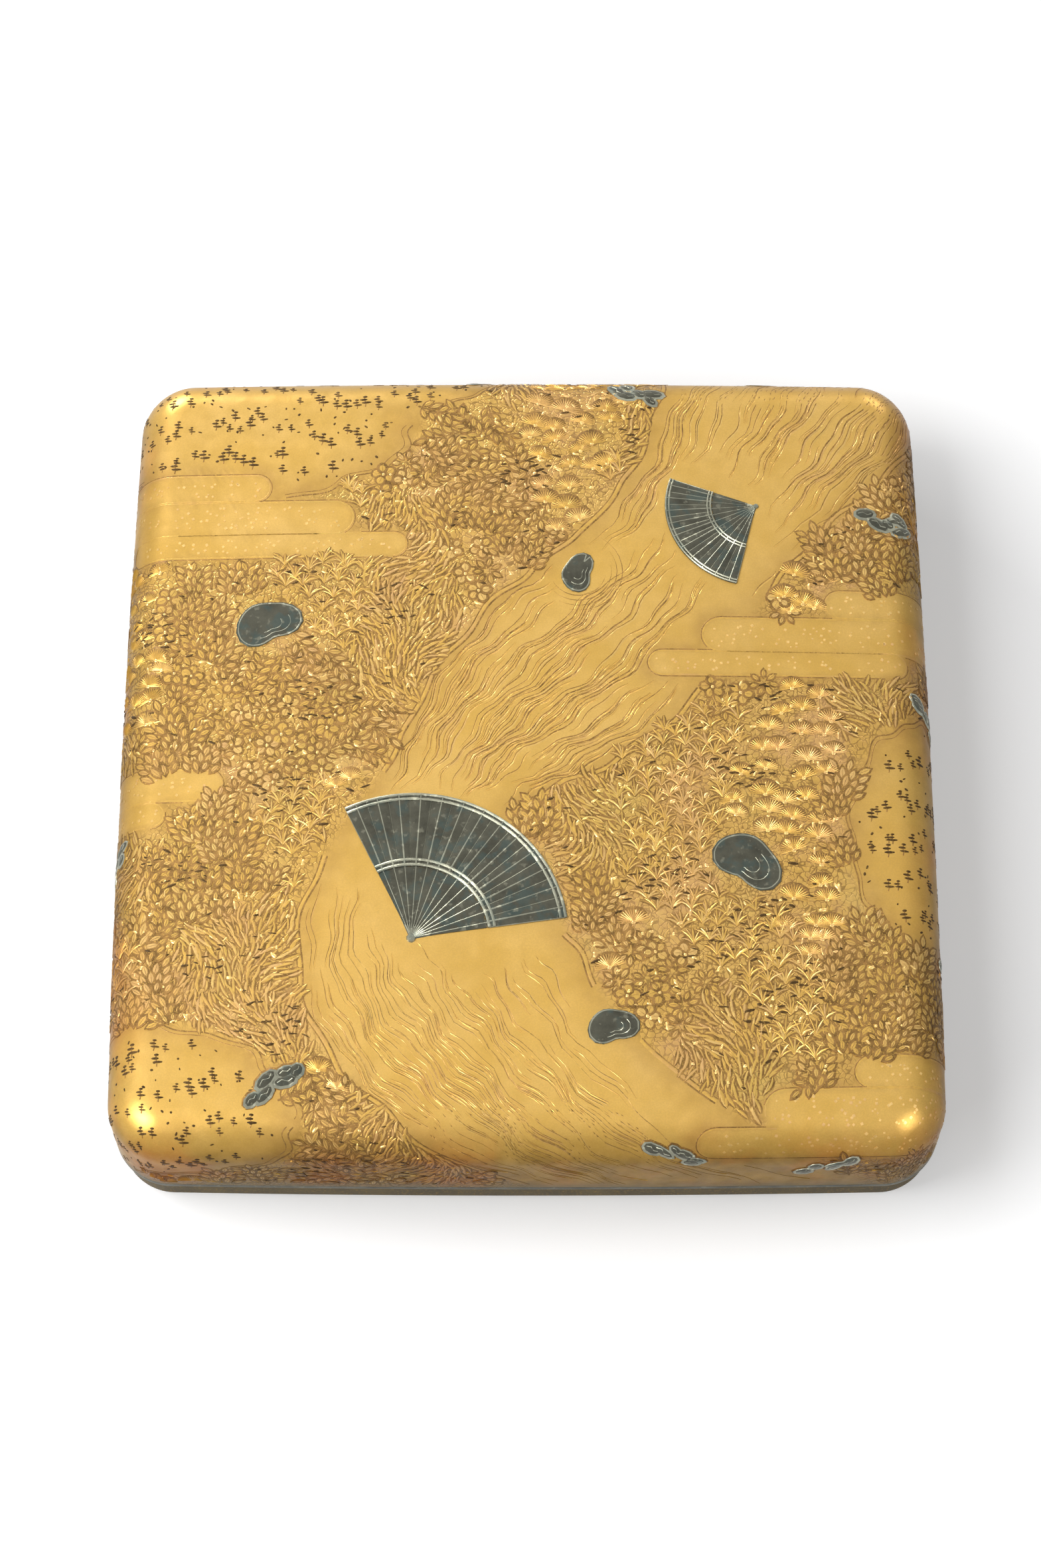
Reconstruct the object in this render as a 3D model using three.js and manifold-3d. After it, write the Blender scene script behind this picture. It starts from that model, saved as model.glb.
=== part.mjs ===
// A lacquered writing box: a domed lid over a shallow body, which holds two lift-out trays, a board
// with an ink stone and a water dropper, two capped brushes, an ink stick, its holder and a paper knife.
// Millimetres, +Z up, front towards -Y. The origin is on the table under the middle of the box.
import * as THREE from "three";
import { mergeVertices } from "three/addons/utils/BufferGeometryUtils.js";
import Module from "manifold-3d";

const wasm = await Module();
wasm.setup();

// Outside of the closed box.
const width = 218;
const depth = 230;
const height = 44;
const sideBow = 1.2;
const cornerRadius = 15;

// Lid: walls, domed panel with an elliptical shoulder, and the metal rim round its mouth.
const lidWall = 3;
const lidPanelThickness = 3.5;
const shoulderRun = 12;
const shoulderDrop = 14;
const domeRise = 2;
const lidEdgeHeight = 9;
const lidRimHeight = 2.2;

// Body: floor board, walls, metal rim, and the ledge strips that carry the lid.
const floorThickness = 5;
const bodyWall = 3;
const bodyRimHeight = 1.6;
const ledgeReveal = 1.2;

// Clearances.
const seatGap = 0.3;
const lidFit = 0.6;
const trayFit = 0.6;
const stoneFit = 0.5;
const dropperFit = 0.5;
const slidingFit = 0.3;

// Board between the trays.
const boardWidth = 87.6;
const boardThickness = 4;
const boardHeight = 13.7;
const boardFrontMargin = 9;
const boardMiddleMargin = 20;
const boardBackMargin = 18;
const battenDepth = 6;
const battenInset = 5;

// Ink stone.
const stoneWidth = 76;
const stoneHeight = 17;
const stoneCorner = 3;
const stoneRim = 4.5;
const grindingDepth = 2.5;
const inkWellDepth = 9;
const inkWellLength = 24;
const inkSlopeLength = 26;
const inkWellCorner = 9;

// Water dropper.
const dropperWidth = 48;
const dropperDepth = 36;
const dropperHeight = 15.2;
const dropperCorner = 9;
const dropperWall = 1.2;
const coverThickness = 1.8;
const coverHole = 1.4;
const bossRadius = 8;
const bossHeight = 1.6;
const bossTopRadius = 6;
const spoutRadius = 2.6;
const spoutHeight = 3;
const spoutInset = 7.5;

// Trays.
const trayWall = 2.2;
const trayFloor = 2.2;
const trayHeight = 14.7;
const trayInnerCorner = 2;
const notchRadius = 11;
const notchDepth = 5;
const dividerThickness = 2;
const dividerHeight = 8;
const knifeLaneWidth = 17;

// Brushes and their caps.
const brushSpacing = 22;
const handleRadius = 4.2;
const buttRadius = 3.4;
const capWall = 1;
const capLength = 56;
const capEnd = 2;
const capRoom = 22;
const brushEndRoom = 2;
const tuftLength = 34;
const tuftRadius = 3.7;
const tuftRootRadius = 2.8;
const tuftRootLength = 6;
const capOverlap = 16;
const restThickness = 5;
const restWeb = 1.5;
const restShare = 0.7;

// Ink stick, its holder and the paper knife.
const inkStickLength = 78;
const inkStickWidth = 15;
const inkStickHeight = 8.5;
const inkStickChamfer = 1.2;
const laneGap = 2;
const jawThickness = 4;
const jawHeight = 8;
const jawGap = 7;
const heelLength = 66;
const ringWall = 1;
const ringLength = 7;
const ringSetback = 58;
const knifeHandleWidth = 11;
const knifeHandleHeight = 7;
const knifeBladeLength = 60;
const knifeBladeThickness = 1.6;
const knifeBladeWidth = 9;
const knifeCollarLength = 5;
const knifeCollarStep = 0.6;
const knifeEndRoom = 12;

// Metal inlays of the lid.
const inlayDepth = 0.9;
const inlayProud = 0.35;
const inlayFit = 0.15;
const inlayGlue = 0.1;
const fanRivet = 4;
const fanLeafStart = 20;
const fanLeafEnd = 41;
const stoneRadius = 8;

// Their places as shares of the half width and half depth of the box, their turns and sweeps in
// degrees, and their sizes as shares of the lengths above.
const fans = [
  { name: "large", place: [-0.275, -0.504], turn: 62, sweep: 108, share: 1 },
  { name: "small", place: [0.578, 0.609], turn: 208, sweep: 96, share: 0.61 },
];
const waterStones = [
  { place: [-0.642, 0.296], turn: 20, share: 0.94 },
  { place: [0.128, 0.426], turn: 75, share: 0.62 },
  { place: [0.532, -0.313], turn: -35, share: 1 },
  { place: [0.202, -0.713], turn: 10, share: 0.69 },
];
const stoneSwell = 0.24;
const stoneLobe = 0.1;

// Smoothness of the solids.
const cornerSteps = 8;
const sideSteps = 5;
const shoulderSteps = 6;
const domeSteps = 6;
const roundSteps = 20;
const smallCornerSteps = 5;
const sharpestCorner = 0.8;

// Heights and insets that follow from the sizes above.
const shoulderStart = height - domeRise - shoulderDrop;
const ledgeTop = lidEdgeHeight - seatGap;
const bodyInset = lidWall + lidFit;
const cavityInset = bodyInset + bodyWall;
const cavityHalfX = width / 2 - sideBow - cavityInset;
const cavityHalfY = depth / 2 - sideBow - cavityInset;
const contentBase = floorThickness + seatGap;

const trayNear = boardWidth / 2 + trayFit;
const trayFar = cavityHalfX - trayFit;
const trayHalfLength = cavityHalfY - trayFit;
const trayMiddle = (trayNear + trayFar) / 2;
const trayFarCorner = Math.max(cornerRadius - cavityInset - trayFit, sharpestCorner);
const laneHalfLength = trayHalfLength - trayWall;
const toolBase = contentBase + trayFloor + seatGap;

const gold = new THREE.MeshStandardMaterial({ color: 0xd9ab58, roughness: 0.38, metalness: 0.85 });
const sprinkled = new THREE.MeshStandardMaterial({ color: 0x7a4a1e, roughness: 0.3, metalness: 0.4 });
const silver = new THREE.MeshStandardMaterial({ color: 0x6f6d60, roughness: 0.42, metalness: 0.9 });
const slate = new THREE.MeshStandardMaterial({ color: 0x2b2b2e, roughness: 0.6, metalness: 0 });
const copper = new THREE.MeshStandardMaterial({ color: 0x8c7f6a, roughness: 0.35, metalness: 0.9 });
const bamboo = new THREE.MeshStandardMaterial({ color: 0x5a2d16, roughness: 0.35, metalness: 0.1 });
const hair = new THREE.MeshStandardMaterial({ color: 0xd8c8a6, roughness: 0.8, metalness: 0 });
const ink = new THREE.MeshStandardMaterial({ color: 0x17171a, roughness: 0.5, metalness: 0 });
const steel = new THREE.MeshStandardMaterial({ color: 0xa9adb0, roughness: 0.3, metalness: 0.95 });

// A closed geometry as a solid that can be cut and joined.
function solidOf(geometry) {
  const bare = geometry.clone();
  bare.deleteAttribute("normal");
  bare.deleteAttribute("uv");
  const merged = mergeVertices(bare, 1e-4);
  const mesh = new wasm.Mesh({
    numProp: 3,
    vertProperties: new Float32Array(merged.attributes.position.array),
    triVerts: new Uint32Array(merged.index.array),
  });
  return new wasm.Manifold(mesh);
}

function geometryOf(solid) {
  const mesh = solid.getMesh();
  const points = new Float32Array(mesh.numVert * 3);
  for (let i = 0; i < mesh.numVert; i++) {
    const start = i * mesh.numProp;
    points.set(mesh.vertProperties.subarray(start, start + 3), i * 3);
  }
  const geometry = new THREE.BufferGeometry();
  geometry.setAttribute("position", new THREE.BufferAttribute(points, 3));
  geometry.setIndex(new THREE.BufferAttribute(new Uint32Array(mesh.triVerts), 1));
  geometry.computeVertexNormals();
  return geometry;
}

function part(name, geometry, material, position = [0, 0, 0]) {
  const mesh = new THREE.Mesh(geometry, material);
  mesh.name = name;
  mesh.position.set(...position);
  return mesh;
}

function groupOf(...members) {
  const group = new THREE.Group();
  group.add(...members);
  return group;
}

// A flat outline raised to a slab from one height to another.
function slab(points, bottom, top, holes = []) {
  const shape = new THREE.Shape(points);
  for (const hole of holes) shape.holes.push(new THREE.Path(hole));
  const geometry = new THREE.ExtrudeGeometry(shape, { depth: top - bottom, bevelEnabled: false });
  return geometry.translate(0, 0, bottom);
}

function block(x, y, z) {
  return new THREE.BoxGeometry(x, y, z).translate(0, 0, z / 2);
}

// A rectangle with a corner radius for each corner, from the far right one counterclockwise.
function roundedRectangle(x0, x1, y0, y1, radii, steps = smallCornerSteps) {
  const corners = [
    [x1, y1, -1, -1],
    [x0, y1, 1, -1],
    [x0, y0, 1, 1],
    [x1, y0, -1, 1],
  ];
  return corners.flatMap(([x, y, inX, inY], k) => {
    const r = radii[k];
    const points = [];
    for (let i = 0; i <= steps; i++) {
      const angle = ((k + i / steps) * Math.PI) / 2;
      points.push(
        new THREE.Vector2(x + inX * r + r * Math.cos(angle), y + inY * r + r * Math.sin(angle)),
      );
    }
    return points;
  });
}

function evenRectangle(x, y, radius, steps = smallCornerSteps) {
  return roundedRectangle(-x / 2, x / 2, -y / 2, y / 2, [radius, radius, radius, radius], steps);
}

// The plan of the box at a distance inside the lid's outer face: a rounded rectangle whose sides bow
// outwards by a parabola. It starts at the back right corner and runs counterclockwise.
function planOutline(inset) {
  const halfX = width / 2 - sideBow - inset;
  const halfY = depth / 2 - sideBow - inset;
  const radius = Math.max(cornerRadius - inset, sharpestCorner);
  const centres = [
    [halfX - radius, halfY - radius],
    [radius - halfX, halfY - radius],
    [radius - halfX, radius - halfY],
    [halfX - radius, radius - halfY],
  ];
  const arcs = centres.map(([x, y], k) => {
    const arc = [];
    for (let i = 0; i <= cornerSteps; i++) {
      const angle = ((k + i / cornerSteps) * Math.PI) / 2;
      arc.push(new THREE.Vector2(x + radius * Math.cos(angle), y + radius * Math.sin(angle)));
    }
    return arc;
  });
  const points = arcs.flatMap((arc, k) => {
    const from = arc[cornerSteps];
    const to = arcs[(k + 1) % 4][0];
    const side = [];
    for (let i = 1; i <= sideSteps; i++) side.push(from.clone().lerp(to, i / (sideSteps + 1)));
    return [...arc, ...side];
  });
  return points.map(
    (p) =>
      new THREE.Vector2(
        p.x + sideBow * (1 - (p.y / halfY) ** 2) * (p.x / halfX),
        p.y + sideBow * (1 - (p.x / halfX) ** 2) * (p.y / halfY),
      ),
  );
}

// One side of that plan, from the middle of a corner to the middle of the next.
function planSide(inset, side) {
  const points = planOutline(inset);
  const perCorner = cornerSteps + 1 + sideSteps;
  const start = side * perCorner + cornerSteps / 2;
  const count = perCorner + 1;
  return Array.from({ length: count }, (_, i) => points[(start + i) % points.length]);
}

const sideNames = ["back", "left", "front", "right"];

// Four boards between two insets, mitred where they meet in the corners.
function mitredBoards(prefix, outerInset, innerInset, bottom, top, material) {
  return sideNames.map((side, k) => {
    const outline = [...planSide(outerInset, k), ...planSide(innerInset, k).reverse()];
    return part(`${prefix}_${side}`, slab(outline, bottom, top), material);
  });
}

// A closed surface from one pole through a run of rings, all with the same count of points, to the
// other pole.
function loft(firstPole, rings, lastPole) {
  const count = rings[0].length;
  const points = [firstPole, ...rings.flat(), lastPole];
  const last = points.length - 1;
  const faces = [];
  for (let j = 0; j < count; j++) {
    const next = (j + 1) % count;
    faces.push(0, 1 + next, 1 + j);
    for (let i = 0; i < rings.length - 1; i++) {
      const here = 1 + i * count;
      const above = here + count;
      faces.push(here + j, here + next, above + next, here + j, above + next, above + j);
    }
    const top = last - count;
    faces.push(top + j, top + next, last);
  }
  const geometry = new THREE.BufferGeometry().setFromPoints(points);
  geometry.setIndex(faces);
  geometry.computeVertexNormals();
  return geometry;
}

function ringAt(points, z) {
  return points.map((p) => new THREE.Vector3(p.x, p.y, z));
}

// How far the dome lies under its crown at a point of the plan: it falls by a parabola along x and
// along y, so that it is level all along the shoulder.
function domeFall(x, y) {
  const acrossX = Math.max(1 - (x / (width / 2 - shoulderRun)) ** 2, 0);
  const acrossY = Math.max(1 - (y / (depth / 2 - shoulderRun)) ** 2, 0);
  return domeRise * (1 - acrossX * acrossY);
}

// The curved top from the foot of the shoulder to the crown: a quarter ellipse, then the dome.
function crownRings(wall, drop, crownHeight) {
  const run = shoulderRun - wall;
  const rings = [];
  for (let i = 0; i <= shoulderSteps; i++) {
    const angle = ((i / shoulderSteps) * Math.PI) / 2;
    const inset = wall + run * (1 - Math.cos(angle));
    rings.push(ringAt(planOutline(inset), crownHeight - domeRise - drop * (1 - Math.sin(angle))));
  }
  const edge = planOutline(shoulderRun);
  for (let i = 1; i < domeSteps; i++) {
    const points = edge.map((p) => p.clone().multiplyScalar(1 - i / domeSteps));
    rings.push(points.map((p) => new THREE.Vector3(p.x, p.y, crownHeight - domeFall(p.x, p.y))));
  }
  return rings;
}

const outerCrown = crownRings(0, shoulderDrop, height);
const crown = new THREE.Vector3(0, 0, height);

// The lid's panel: outer crown over an inner one, joined by the flat foot that the walls meet.
function lidPanelSolid() {
  const ceiling = height - lidPanelThickness;
  const innerCrown = crownRings(lidWall, shoulderDrop - lidPanelThickness, ceiling);
  const rings = [...innerCrown.reverse(), ...outerCrown];
  return solidOf(loft(new THREE.Vector3(0, 0, ceiling), rings, crown));
}

// The space under the lid's outer face, which trims the inlays to the dome.
function underDome() {
  return solidOf(loft(new THREE.Vector3(0, 0, shoulderStart), outerCrown, crown));
}

function placeOnLid(inlay) {
  return new THREE.Vector2((inlay.place[0] * width) / 2, (inlay.place[1] * depth) / 2);
}

function fanOutline(fan, inner, outer) {
  const pivot = placeOnLid(fan);
  const points = [];
  const start = THREE.MathUtils.degToRad(fan.turn - fan.sweep / 2);
  const sweep = THREE.MathUtils.degToRad(fan.sweep);
  const place = (radius, share) => {
    const angle = start + sweep * share;
    const r = radius * fan.share;
    return new THREE.Vector2(pivot.x + r * Math.cos(angle), pivot.y + r * Math.sin(angle));
  };
  for (let i = 0; i <= roundSteps; i++) points.push(place(outer, i / roundSteps));
  for (let i = roundSteps; i >= 0; i--) points.push(place(inner, i / roundSteps));
  return points;
}

function waterStoneOutline(stone) {
  const turn = THREE.MathUtils.degToRad(stone.turn);
  const middle = placeOnLid(stone);
  return Array.from({ length: roundSteps }, (_, i) => {
    const angle = (i / roundSteps) * 2 * Math.PI;
    const swell = 1 + stoneSwell * Math.cos(2 * angle) + stoneLobe * Math.cos(3 * angle + 1);
    const r = stoneRadius * stone.share * swell;
    return new THREE.Vector2(
      middle.x + r * Math.cos(angle + turn),
      middle.y + r * Math.sin(angle + turn),
    );
  });
}

// An outline moved outwards along the bisector of each corner.
function grown(points, distance) {
  return points.map((p, i) => {
    const before = points[(i + points.length - 1) % points.length];
    const after = points[(i + 1) % points.length];
    const a = p.clone().sub(before).normalize();
    const b = after.clone().sub(p).normalize();
    const normal = new THREE.Vector2(a.y + b.y, -a.x - b.x).normalize();
    const reach = distance / Math.max(normal.x * b.y - normal.y * b.x, 0.5);
    return p.clone().addScaledVector(normal, reach);
  });
}

// Every inlay of the lid: its pieces of sheet metal, and the one pocket that they lie in.
function inlayPlans() {
  const fanPlans = fans.map((fan) => ({
    pocket: fanOutline(fan, fanRivet, fanLeafEnd),
    pieces: [
      [`fan_leaf_${fan.name}`, fanOutline(fan, fanLeafStart, fanLeafEnd)],
      [`fan_ribs_${fan.name}`, fanOutline(fan, fanRivet, fanLeafStart - inlayFit / fan.share)],
    ],
  }));
  const stonePlans = waterStones.map((stone, i) => ({
    pocket: waterStoneOutline(stone),
    pieces: [[`stone_inlay_${i + 1}`, waterStoneOutline(stone)]],
  }));
  return [...fanPlans, ...stonePlans];
}

function makeLid() {
  let panel = lidPanelSolid();
  const trim = underDome().translate([0, 0, inlayProud]);
  const inlays = [];
  for (const plan of inlayPlans()) {
    const lowest = height - Math.max(...plan.pocket.map((p) => domeFall(p.x, p.y)));
    const pocketFloor = lowest - inlayDepth;
    const pocket = slab(grown(plan.pocket, inlayFit), pocketFloor, height + domeRise);
    panel = panel.subtract(solidOf(pocket));
    for (const [name, outline] of plan.pieces) {
      const raised = solidOf(slab(outline, pocketFloor + inlayGlue, height + domeRise));
      inlays.push(part(name, geometryOf(raised.intersect(trim)), silver));
    }
  }
  const wallFoot = lidEdgeHeight + lidRimHeight;
  const rim = slab(planOutline(0), lidEdgeHeight, wallFoot, [planOutline(lidWall)]);
  return groupOf(
    part("lid_panel", geometryOf(panel), gold),
    ...mitredBoards("lid_wall", 0, lidWall, wallFoot, shoulderStart, gold),
    part("lid_rim", rim, silver),
    ...inlays,
  );
}

function makeBody() {
  const rimFoot = shoulderStart - bodyRimHeight;
  const rim = slab(planOutline(bodyInset), rimFoot, shoulderStart, [planOutline(cavityInset)]);
  return groupOf(
    part("floor_board", slab(planOutline(ledgeReveal), 0, floorThickness), gold),
    ...mitredBoards("lid_ledge", ledgeReveal, bodyInset, floorThickness, ledgeTop, gold),
    ...mitredBoards("body_wall", bodyInset, cavityInset, floorThickness, rimFoot, sprinkled),
    part("body_rim", rim, silver),
  );
}

const boardHalfLength = trayHalfLength;
const stoneLength =
  2 * boardHalfLength -
  boardFrontMargin -
  boardMiddleMargin -
  boardBackMargin -
  dropperDepth;
const stoneMiddle = -boardHalfLength + boardFrontMargin + stoneLength / 2;
const dropperMiddle = boardHalfLength - boardBackMargin - dropperDepth / 2;

// The board with its two cut-outs, on three battens.
function makeBoard() {
  const cutOut = (x, y, radius, middle, fit) =>
    evenRectangle(x + 2 * fit, y + 2 * fit, radius + fit).map((p) => new THREE.Vector2(p.x, p.y + middle));
  const top = contentBase + boardHeight;
  const under = top - boardThickness;
  const plate = slab(evenRectangle(boardWidth, 2 * boardHalfLength, trayInnerCorner), under, top, [
    cutOut(stoneWidth, stoneLength, stoneCorner, stoneMiddle, stoneFit),
    cutOut(dropperWidth, dropperDepth, dropperCorner, dropperMiddle, dropperFit),
  ]);
  const batten = block(boardWidth - 2 * battenInset, battenDepth, under - contentBase);
  const places = [
    ["front", -boardHalfLength + boardFrontMargin / 2],
    ["middle", stoneMiddle + stoneLength / 2 + boardMiddleMargin / 2],
    ["back", boardHalfLength - boardBackMargin / 2],
  ];
  return groupOf(
    part("stone_board", plate, sprinkled),
    ...places.map(([name, y]) => part(`board_batten_${name}`, batten, sprinkled, [0, y, contentBase])),
  );
}

// The ink stone: a slab with a grinding face that slopes down to the ink well at its back.
function makeInkStone() {
  const body = solidOf(slab(evenRectangle(stoneWidth, stoneLength, stoneCorner), 0, stoneHeight));
  const front = -stoneLength / 2 + stoneRim;
  const back = stoneLength / 2 - stoneRim;
  const face = stoneHeight - grindingDepth;
  const well = stoneHeight - inkWellDepth;
  const slopeEnd = back - inkWellLength;
  const slopeStart = slopeEnd - inkSlopeLength;
  const middle = (slopeStart + slopeEnd) / 2;
  const over = stoneHeight + grindingDepth;
  const profile = new THREE.Shape();
  profile.moveTo(front, over);
  profile.lineTo(front, face);
  profile.lineTo(slopeStart, face);
  profile.bezierCurveTo(middle, face, middle, well, slopeEnd, well);
  profile.lineTo(back, well);
  profile.lineTo(back, over);
  const hollow = new THREE.ExtrudeGeometry(profile, {
    depth: stoneWidth,
    bevelEnabled: false,
    curveSegments: smallCornerSteps + 3,
  });
  // The profile is drawn in y and z, so it is turned up from the sheet and laid across the stone.
  hollow.rotateY(Math.PI / 2).rotateX(Math.PI / 2).translate(-stoneWidth / 2, 0, 0);
  const plan = evenRectangle(stoneWidth - 2 * stoneRim, stoneLength - 2 * stoneRim, inkWellCorner);
  const cut = solidOf(hollow).intersect(solidOf(slab(plan, 0, over)));
  return groupOf(
    part("ink_stone", geometryOf(body.subtract(cut)), slate, [0, stoneMiddle, contentBase]),
  );
}

function cylinder(radius, from, to) {
  const geometry = new THREE.CylinderGeometry(radius, radius, to - from, roundSteps);
  return geometry.rotateX(Math.PI / 2).translate(0, 0, (from + to) / 2);
}

// The water dropper: an open vessel, a cover with two holes, a boss round the one that lets in air,
// and a short spout round the other.
function makeDropper() {
  const outside = evenRectangle(dropperWidth, dropperDepth, dropperCorner);
  const inside = evenRectangle(
    dropperWidth - 2 * dropperWall,
    dropperDepth - 2 * dropperWall,
    dropperCorner - dropperWall,
  );
  const vessel = solidOf(slab(outside, 0, dropperHeight)).subtract(
    solidOf(slab(inside, dropperWall, dropperHeight + dropperWall)),
  );
  const coverTop = dropperHeight + coverThickness;
  const spoutX = dropperWidth / 2 - spoutInset;
  const spoutY = dropperDepth / 2 - spoutInset;
  const boss = new THREE.LatheGeometry(
    [
      new THREE.Vector2(coverHole, 0),
      new THREE.Vector2(bossRadius, 0),
      new THREE.Vector2(bossTopRadius, bossHeight * 0.7),
      new THREE.Vector2(coverHole, bossHeight),
      new THREE.Vector2(coverHole, 0),
    ],
    roundSteps,
  ).rotateX(Math.PI / 2);
  const drill = solidOf(cylinder(coverHole, 0, 2 * dropperHeight));
  const cover = solidOf(slab(outside, dropperHeight, coverTop))
    .subtract(drill)
    .subtract(drill.translate([spoutX, spoutY, 0]));
  const spout = new THREE.LatheGeometry(
    [
      new THREE.Vector2(coverHole, 0),
      new THREE.Vector2(spoutRadius, 0),
      new THREE.Vector2(spoutRadius * 0.85, spoutHeight),
      new THREE.Vector2(coverHole, spoutHeight),
      new THREE.Vector2(coverHole, 0),
    ],
    roundSteps,
  ).rotateX(Math.PI / 2);
  const dropper = groupOf(
    part("dropper_vessel", geometryOf(vessel), copper),
    part("dropper_cover", geometryOf(cover), copper),
    part("dropper_boss", boss, copper, [0, 0, coverTop]),
    part("dropper_spout", spout, copper, [spoutX, spoutY, coverTop]),
  );
  dropper.position.set(0, dropperMiddle, contentBase);
  return dropper;
}

// A tray's plan beside the board. Its far corners follow the box's own rounded corners.
function trayOutline(side, inset) {
  const near = side * (trayNear + inset);
  const far = side * (trayFar - inset);
  const y = trayHalfLength - inset;
  const round = Math.max(trayFarCorner - inset, sharpestCorner);
  const square = Math.max(trayInnerCorner - inset, sharpestCorner);
  return side > 0
    ? roundedRectangle(near, far, -y, y, [round, square, square, round])
    : roundedRectangle(far, near, -y, y, [square, round, round, square]);
}

function makeTray(side, name, fittings) {
  const floorTop = contentBase + trayFloor;
  const top = contentBase + trayHeight;
  const walls = solidOf(slab(trayOutline(side, 0), floorTop, top, [trayOutline(side, trayWall)]));
  // A finger notch in each end wall, cut by a long bar whose round underside dips below the edge.
  const bar = new THREE.CylinderGeometry(notchRadius, notchRadius, 2 * depth, roundSteps);
  bar.translate(side * trayMiddle, 0, top + notchRadius - notchDepth);
  return groupOf(
    part(`${name}_floor`, slab(trayOutline(side, 0), contentBase, floorTop), sprinkled),
    part(`${name}_walls`, geometryOf(walls.subtract(solidOf(bar))), sprinkled),
    ...fittings,
  );
}

const capRadius = handleRadius + slidingFit + capWall;
const capSeat = capRadius + slidingFit;
const restBase = contentBase + trayFloor;
const brushHeight = restBase + restWeb + capSeat;
const brushLength = 2 * laneHalfLength - capRoom - brushEndRoom;
const handleLength = brushLength - capLength + capOverlap;
const brushStart = -laneHalfLength + brushEndRoom;
const capStart = brushStart + handleLength - capOverlap;

// A rest for both brushes: a bar with a round seat for each.
function brushRest(name, y, seatRadius) {
  const axis = brushHeight - restBase;
  const span = 2 * (trayMiddle - trayNear - trayWall) - 2 * seatGap;
  let bar = solidOf(block(span, restThickness, axis - seatRadius * (1 - restShare)));
  for (const offset of [-brushSpacing / 2, brushSpacing / 2]) {
    const seat = new THREE.CylinderGeometry(seatRadius, seatRadius, 2 * restThickness, roundSteps);
    bar = bar.subtract(solidOf(seat.translate(offset, 0, axis)));
  }
  return part(name, geometryOf(bar), sprinkled, [-trayMiddle, y, restBase]);
}

// A turned piece from pairs of radius and distance along the brush, laid along +Y.
function turned(profile) {
  const points = profile.map(([radius, along]) => new THREE.Vector2(radius, along));
  return new THREE.LatheGeometry(points, roundSteps);
}

function makeBrush(name, x) {
  const socket = tuftRootRadius + slidingFit;
  const handle = turned([
    [0, 0],
    [buttRadius * 0.7, 0],
    [buttRadius, 1.2],
    [buttRadius, 5],
    [buttRadius * 0.8, 6.2],
    [handleRadius * 0.95, 8],
    [handleRadius, handleLength * 0.5],
    [handleRadius, handleLength],
    [socket, handleLength],
    [socket, handleLength - tuftRootLength],
    [0, handleLength - tuftRootLength],
  ]);
  const tuftStart = handleLength + slidingFit;
  const tuft = turned([
    [0, tuftStart - tuftRootLength],
    [tuftRootRadius, tuftStart - tuftRootLength],
    [tuftRootRadius, tuftStart],
    [tuftRadius * 0.95, tuftStart + 0.5],
    [tuftRadius, tuftStart + tuftLength * 0.3],
    [tuftRadius * 0.72, tuftStart + tuftLength * 0.62],
    [tuftRadius * 0.34, tuftStart + tuftLength * 0.86],
    [0, tuftStart + tuftLength],
  ]);
  const bore = capRadius - capWall;
  const cap = turned([
    [bore, 0],
    [capRadius, 0],
    [capRadius, capLength - 1],
    [capRadius - 1, capLength],
    [0, capLength],
    [0, capLength - capEnd],
    [bore, capLength - capEnd],
    [bore, 0],
  ]);
  return groupOf(
    part(`${name}_handle`, handle, bamboo, [x, brushStart, brushHeight]),
    part(`${name}_tuft`, tuft, hair, [x, brushStart, brushHeight]),
    part(`${name}_cap`, cap, bamboo, [x, capStart, brushHeight]),
  );
}

function makeLeftTray() {
  return makeTray(-1, "left_tray", [
    brushRest("brush_rest_front", brushStart + handleLength * 0.2, handleRadius + slidingFit),
    brushRest("brush_rest_back", capStart + capLength * 0.35, capSeat),
  ]);
}

const laneFar = trayFar - trayWall;
const dividerMiddle = laneFar - knifeLaneWidth - dividerThickness / 2;
const inkLaneNear = trayNear + trayWall;
const inkLaneMiddle = (inkLaneNear + dividerMiddle - dividerThickness / 2) / 2;
const knifeLaneMiddle = laneFar - knifeLaneWidth / 2;

function makeRightTray() {
  const bar = block(dividerThickness, 2 * (laneHalfLength - seatGap), dividerHeight);
  const divider = part("tray_divider", bar, sprinkled, [dividerMiddle, 0, toolBase - seatGap]);
  return makeTray(1, "right_tray", [divider]);
}

function makeInkStick() {
  const outline = new THREE.Shape(
    evenRectangle(
      inkStickWidth - 2 * inkStickChamfer,
      inkStickLength - 2 * inkStickChamfer,
      inkStickChamfer * 2,
      2,
    ),
  );
  const stick = new THREE.ExtrudeGeometry(outline, {
    depth: inkStickHeight - 2 * inkStickChamfer,
    bevelThickness: inkStickChamfer,
    bevelSize: inkStickChamfer,
    bevelSegments: 1,
  }).translate(0, 0, inkStickChamfer);
  const y = laneHalfLength - laneGap - inkStickLength / 2;
  return groupOf(part("ink_stick", stick, ink, [inkLaneMiddle, y, toolBase]));
}

const holderLength = 2 * laneHalfLength - inkStickLength - 3 * laneGap;
const holderStart = -laneHalfLength + laneGap;
const holderBase = toolBase + ringWall + slidingFit;

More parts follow.
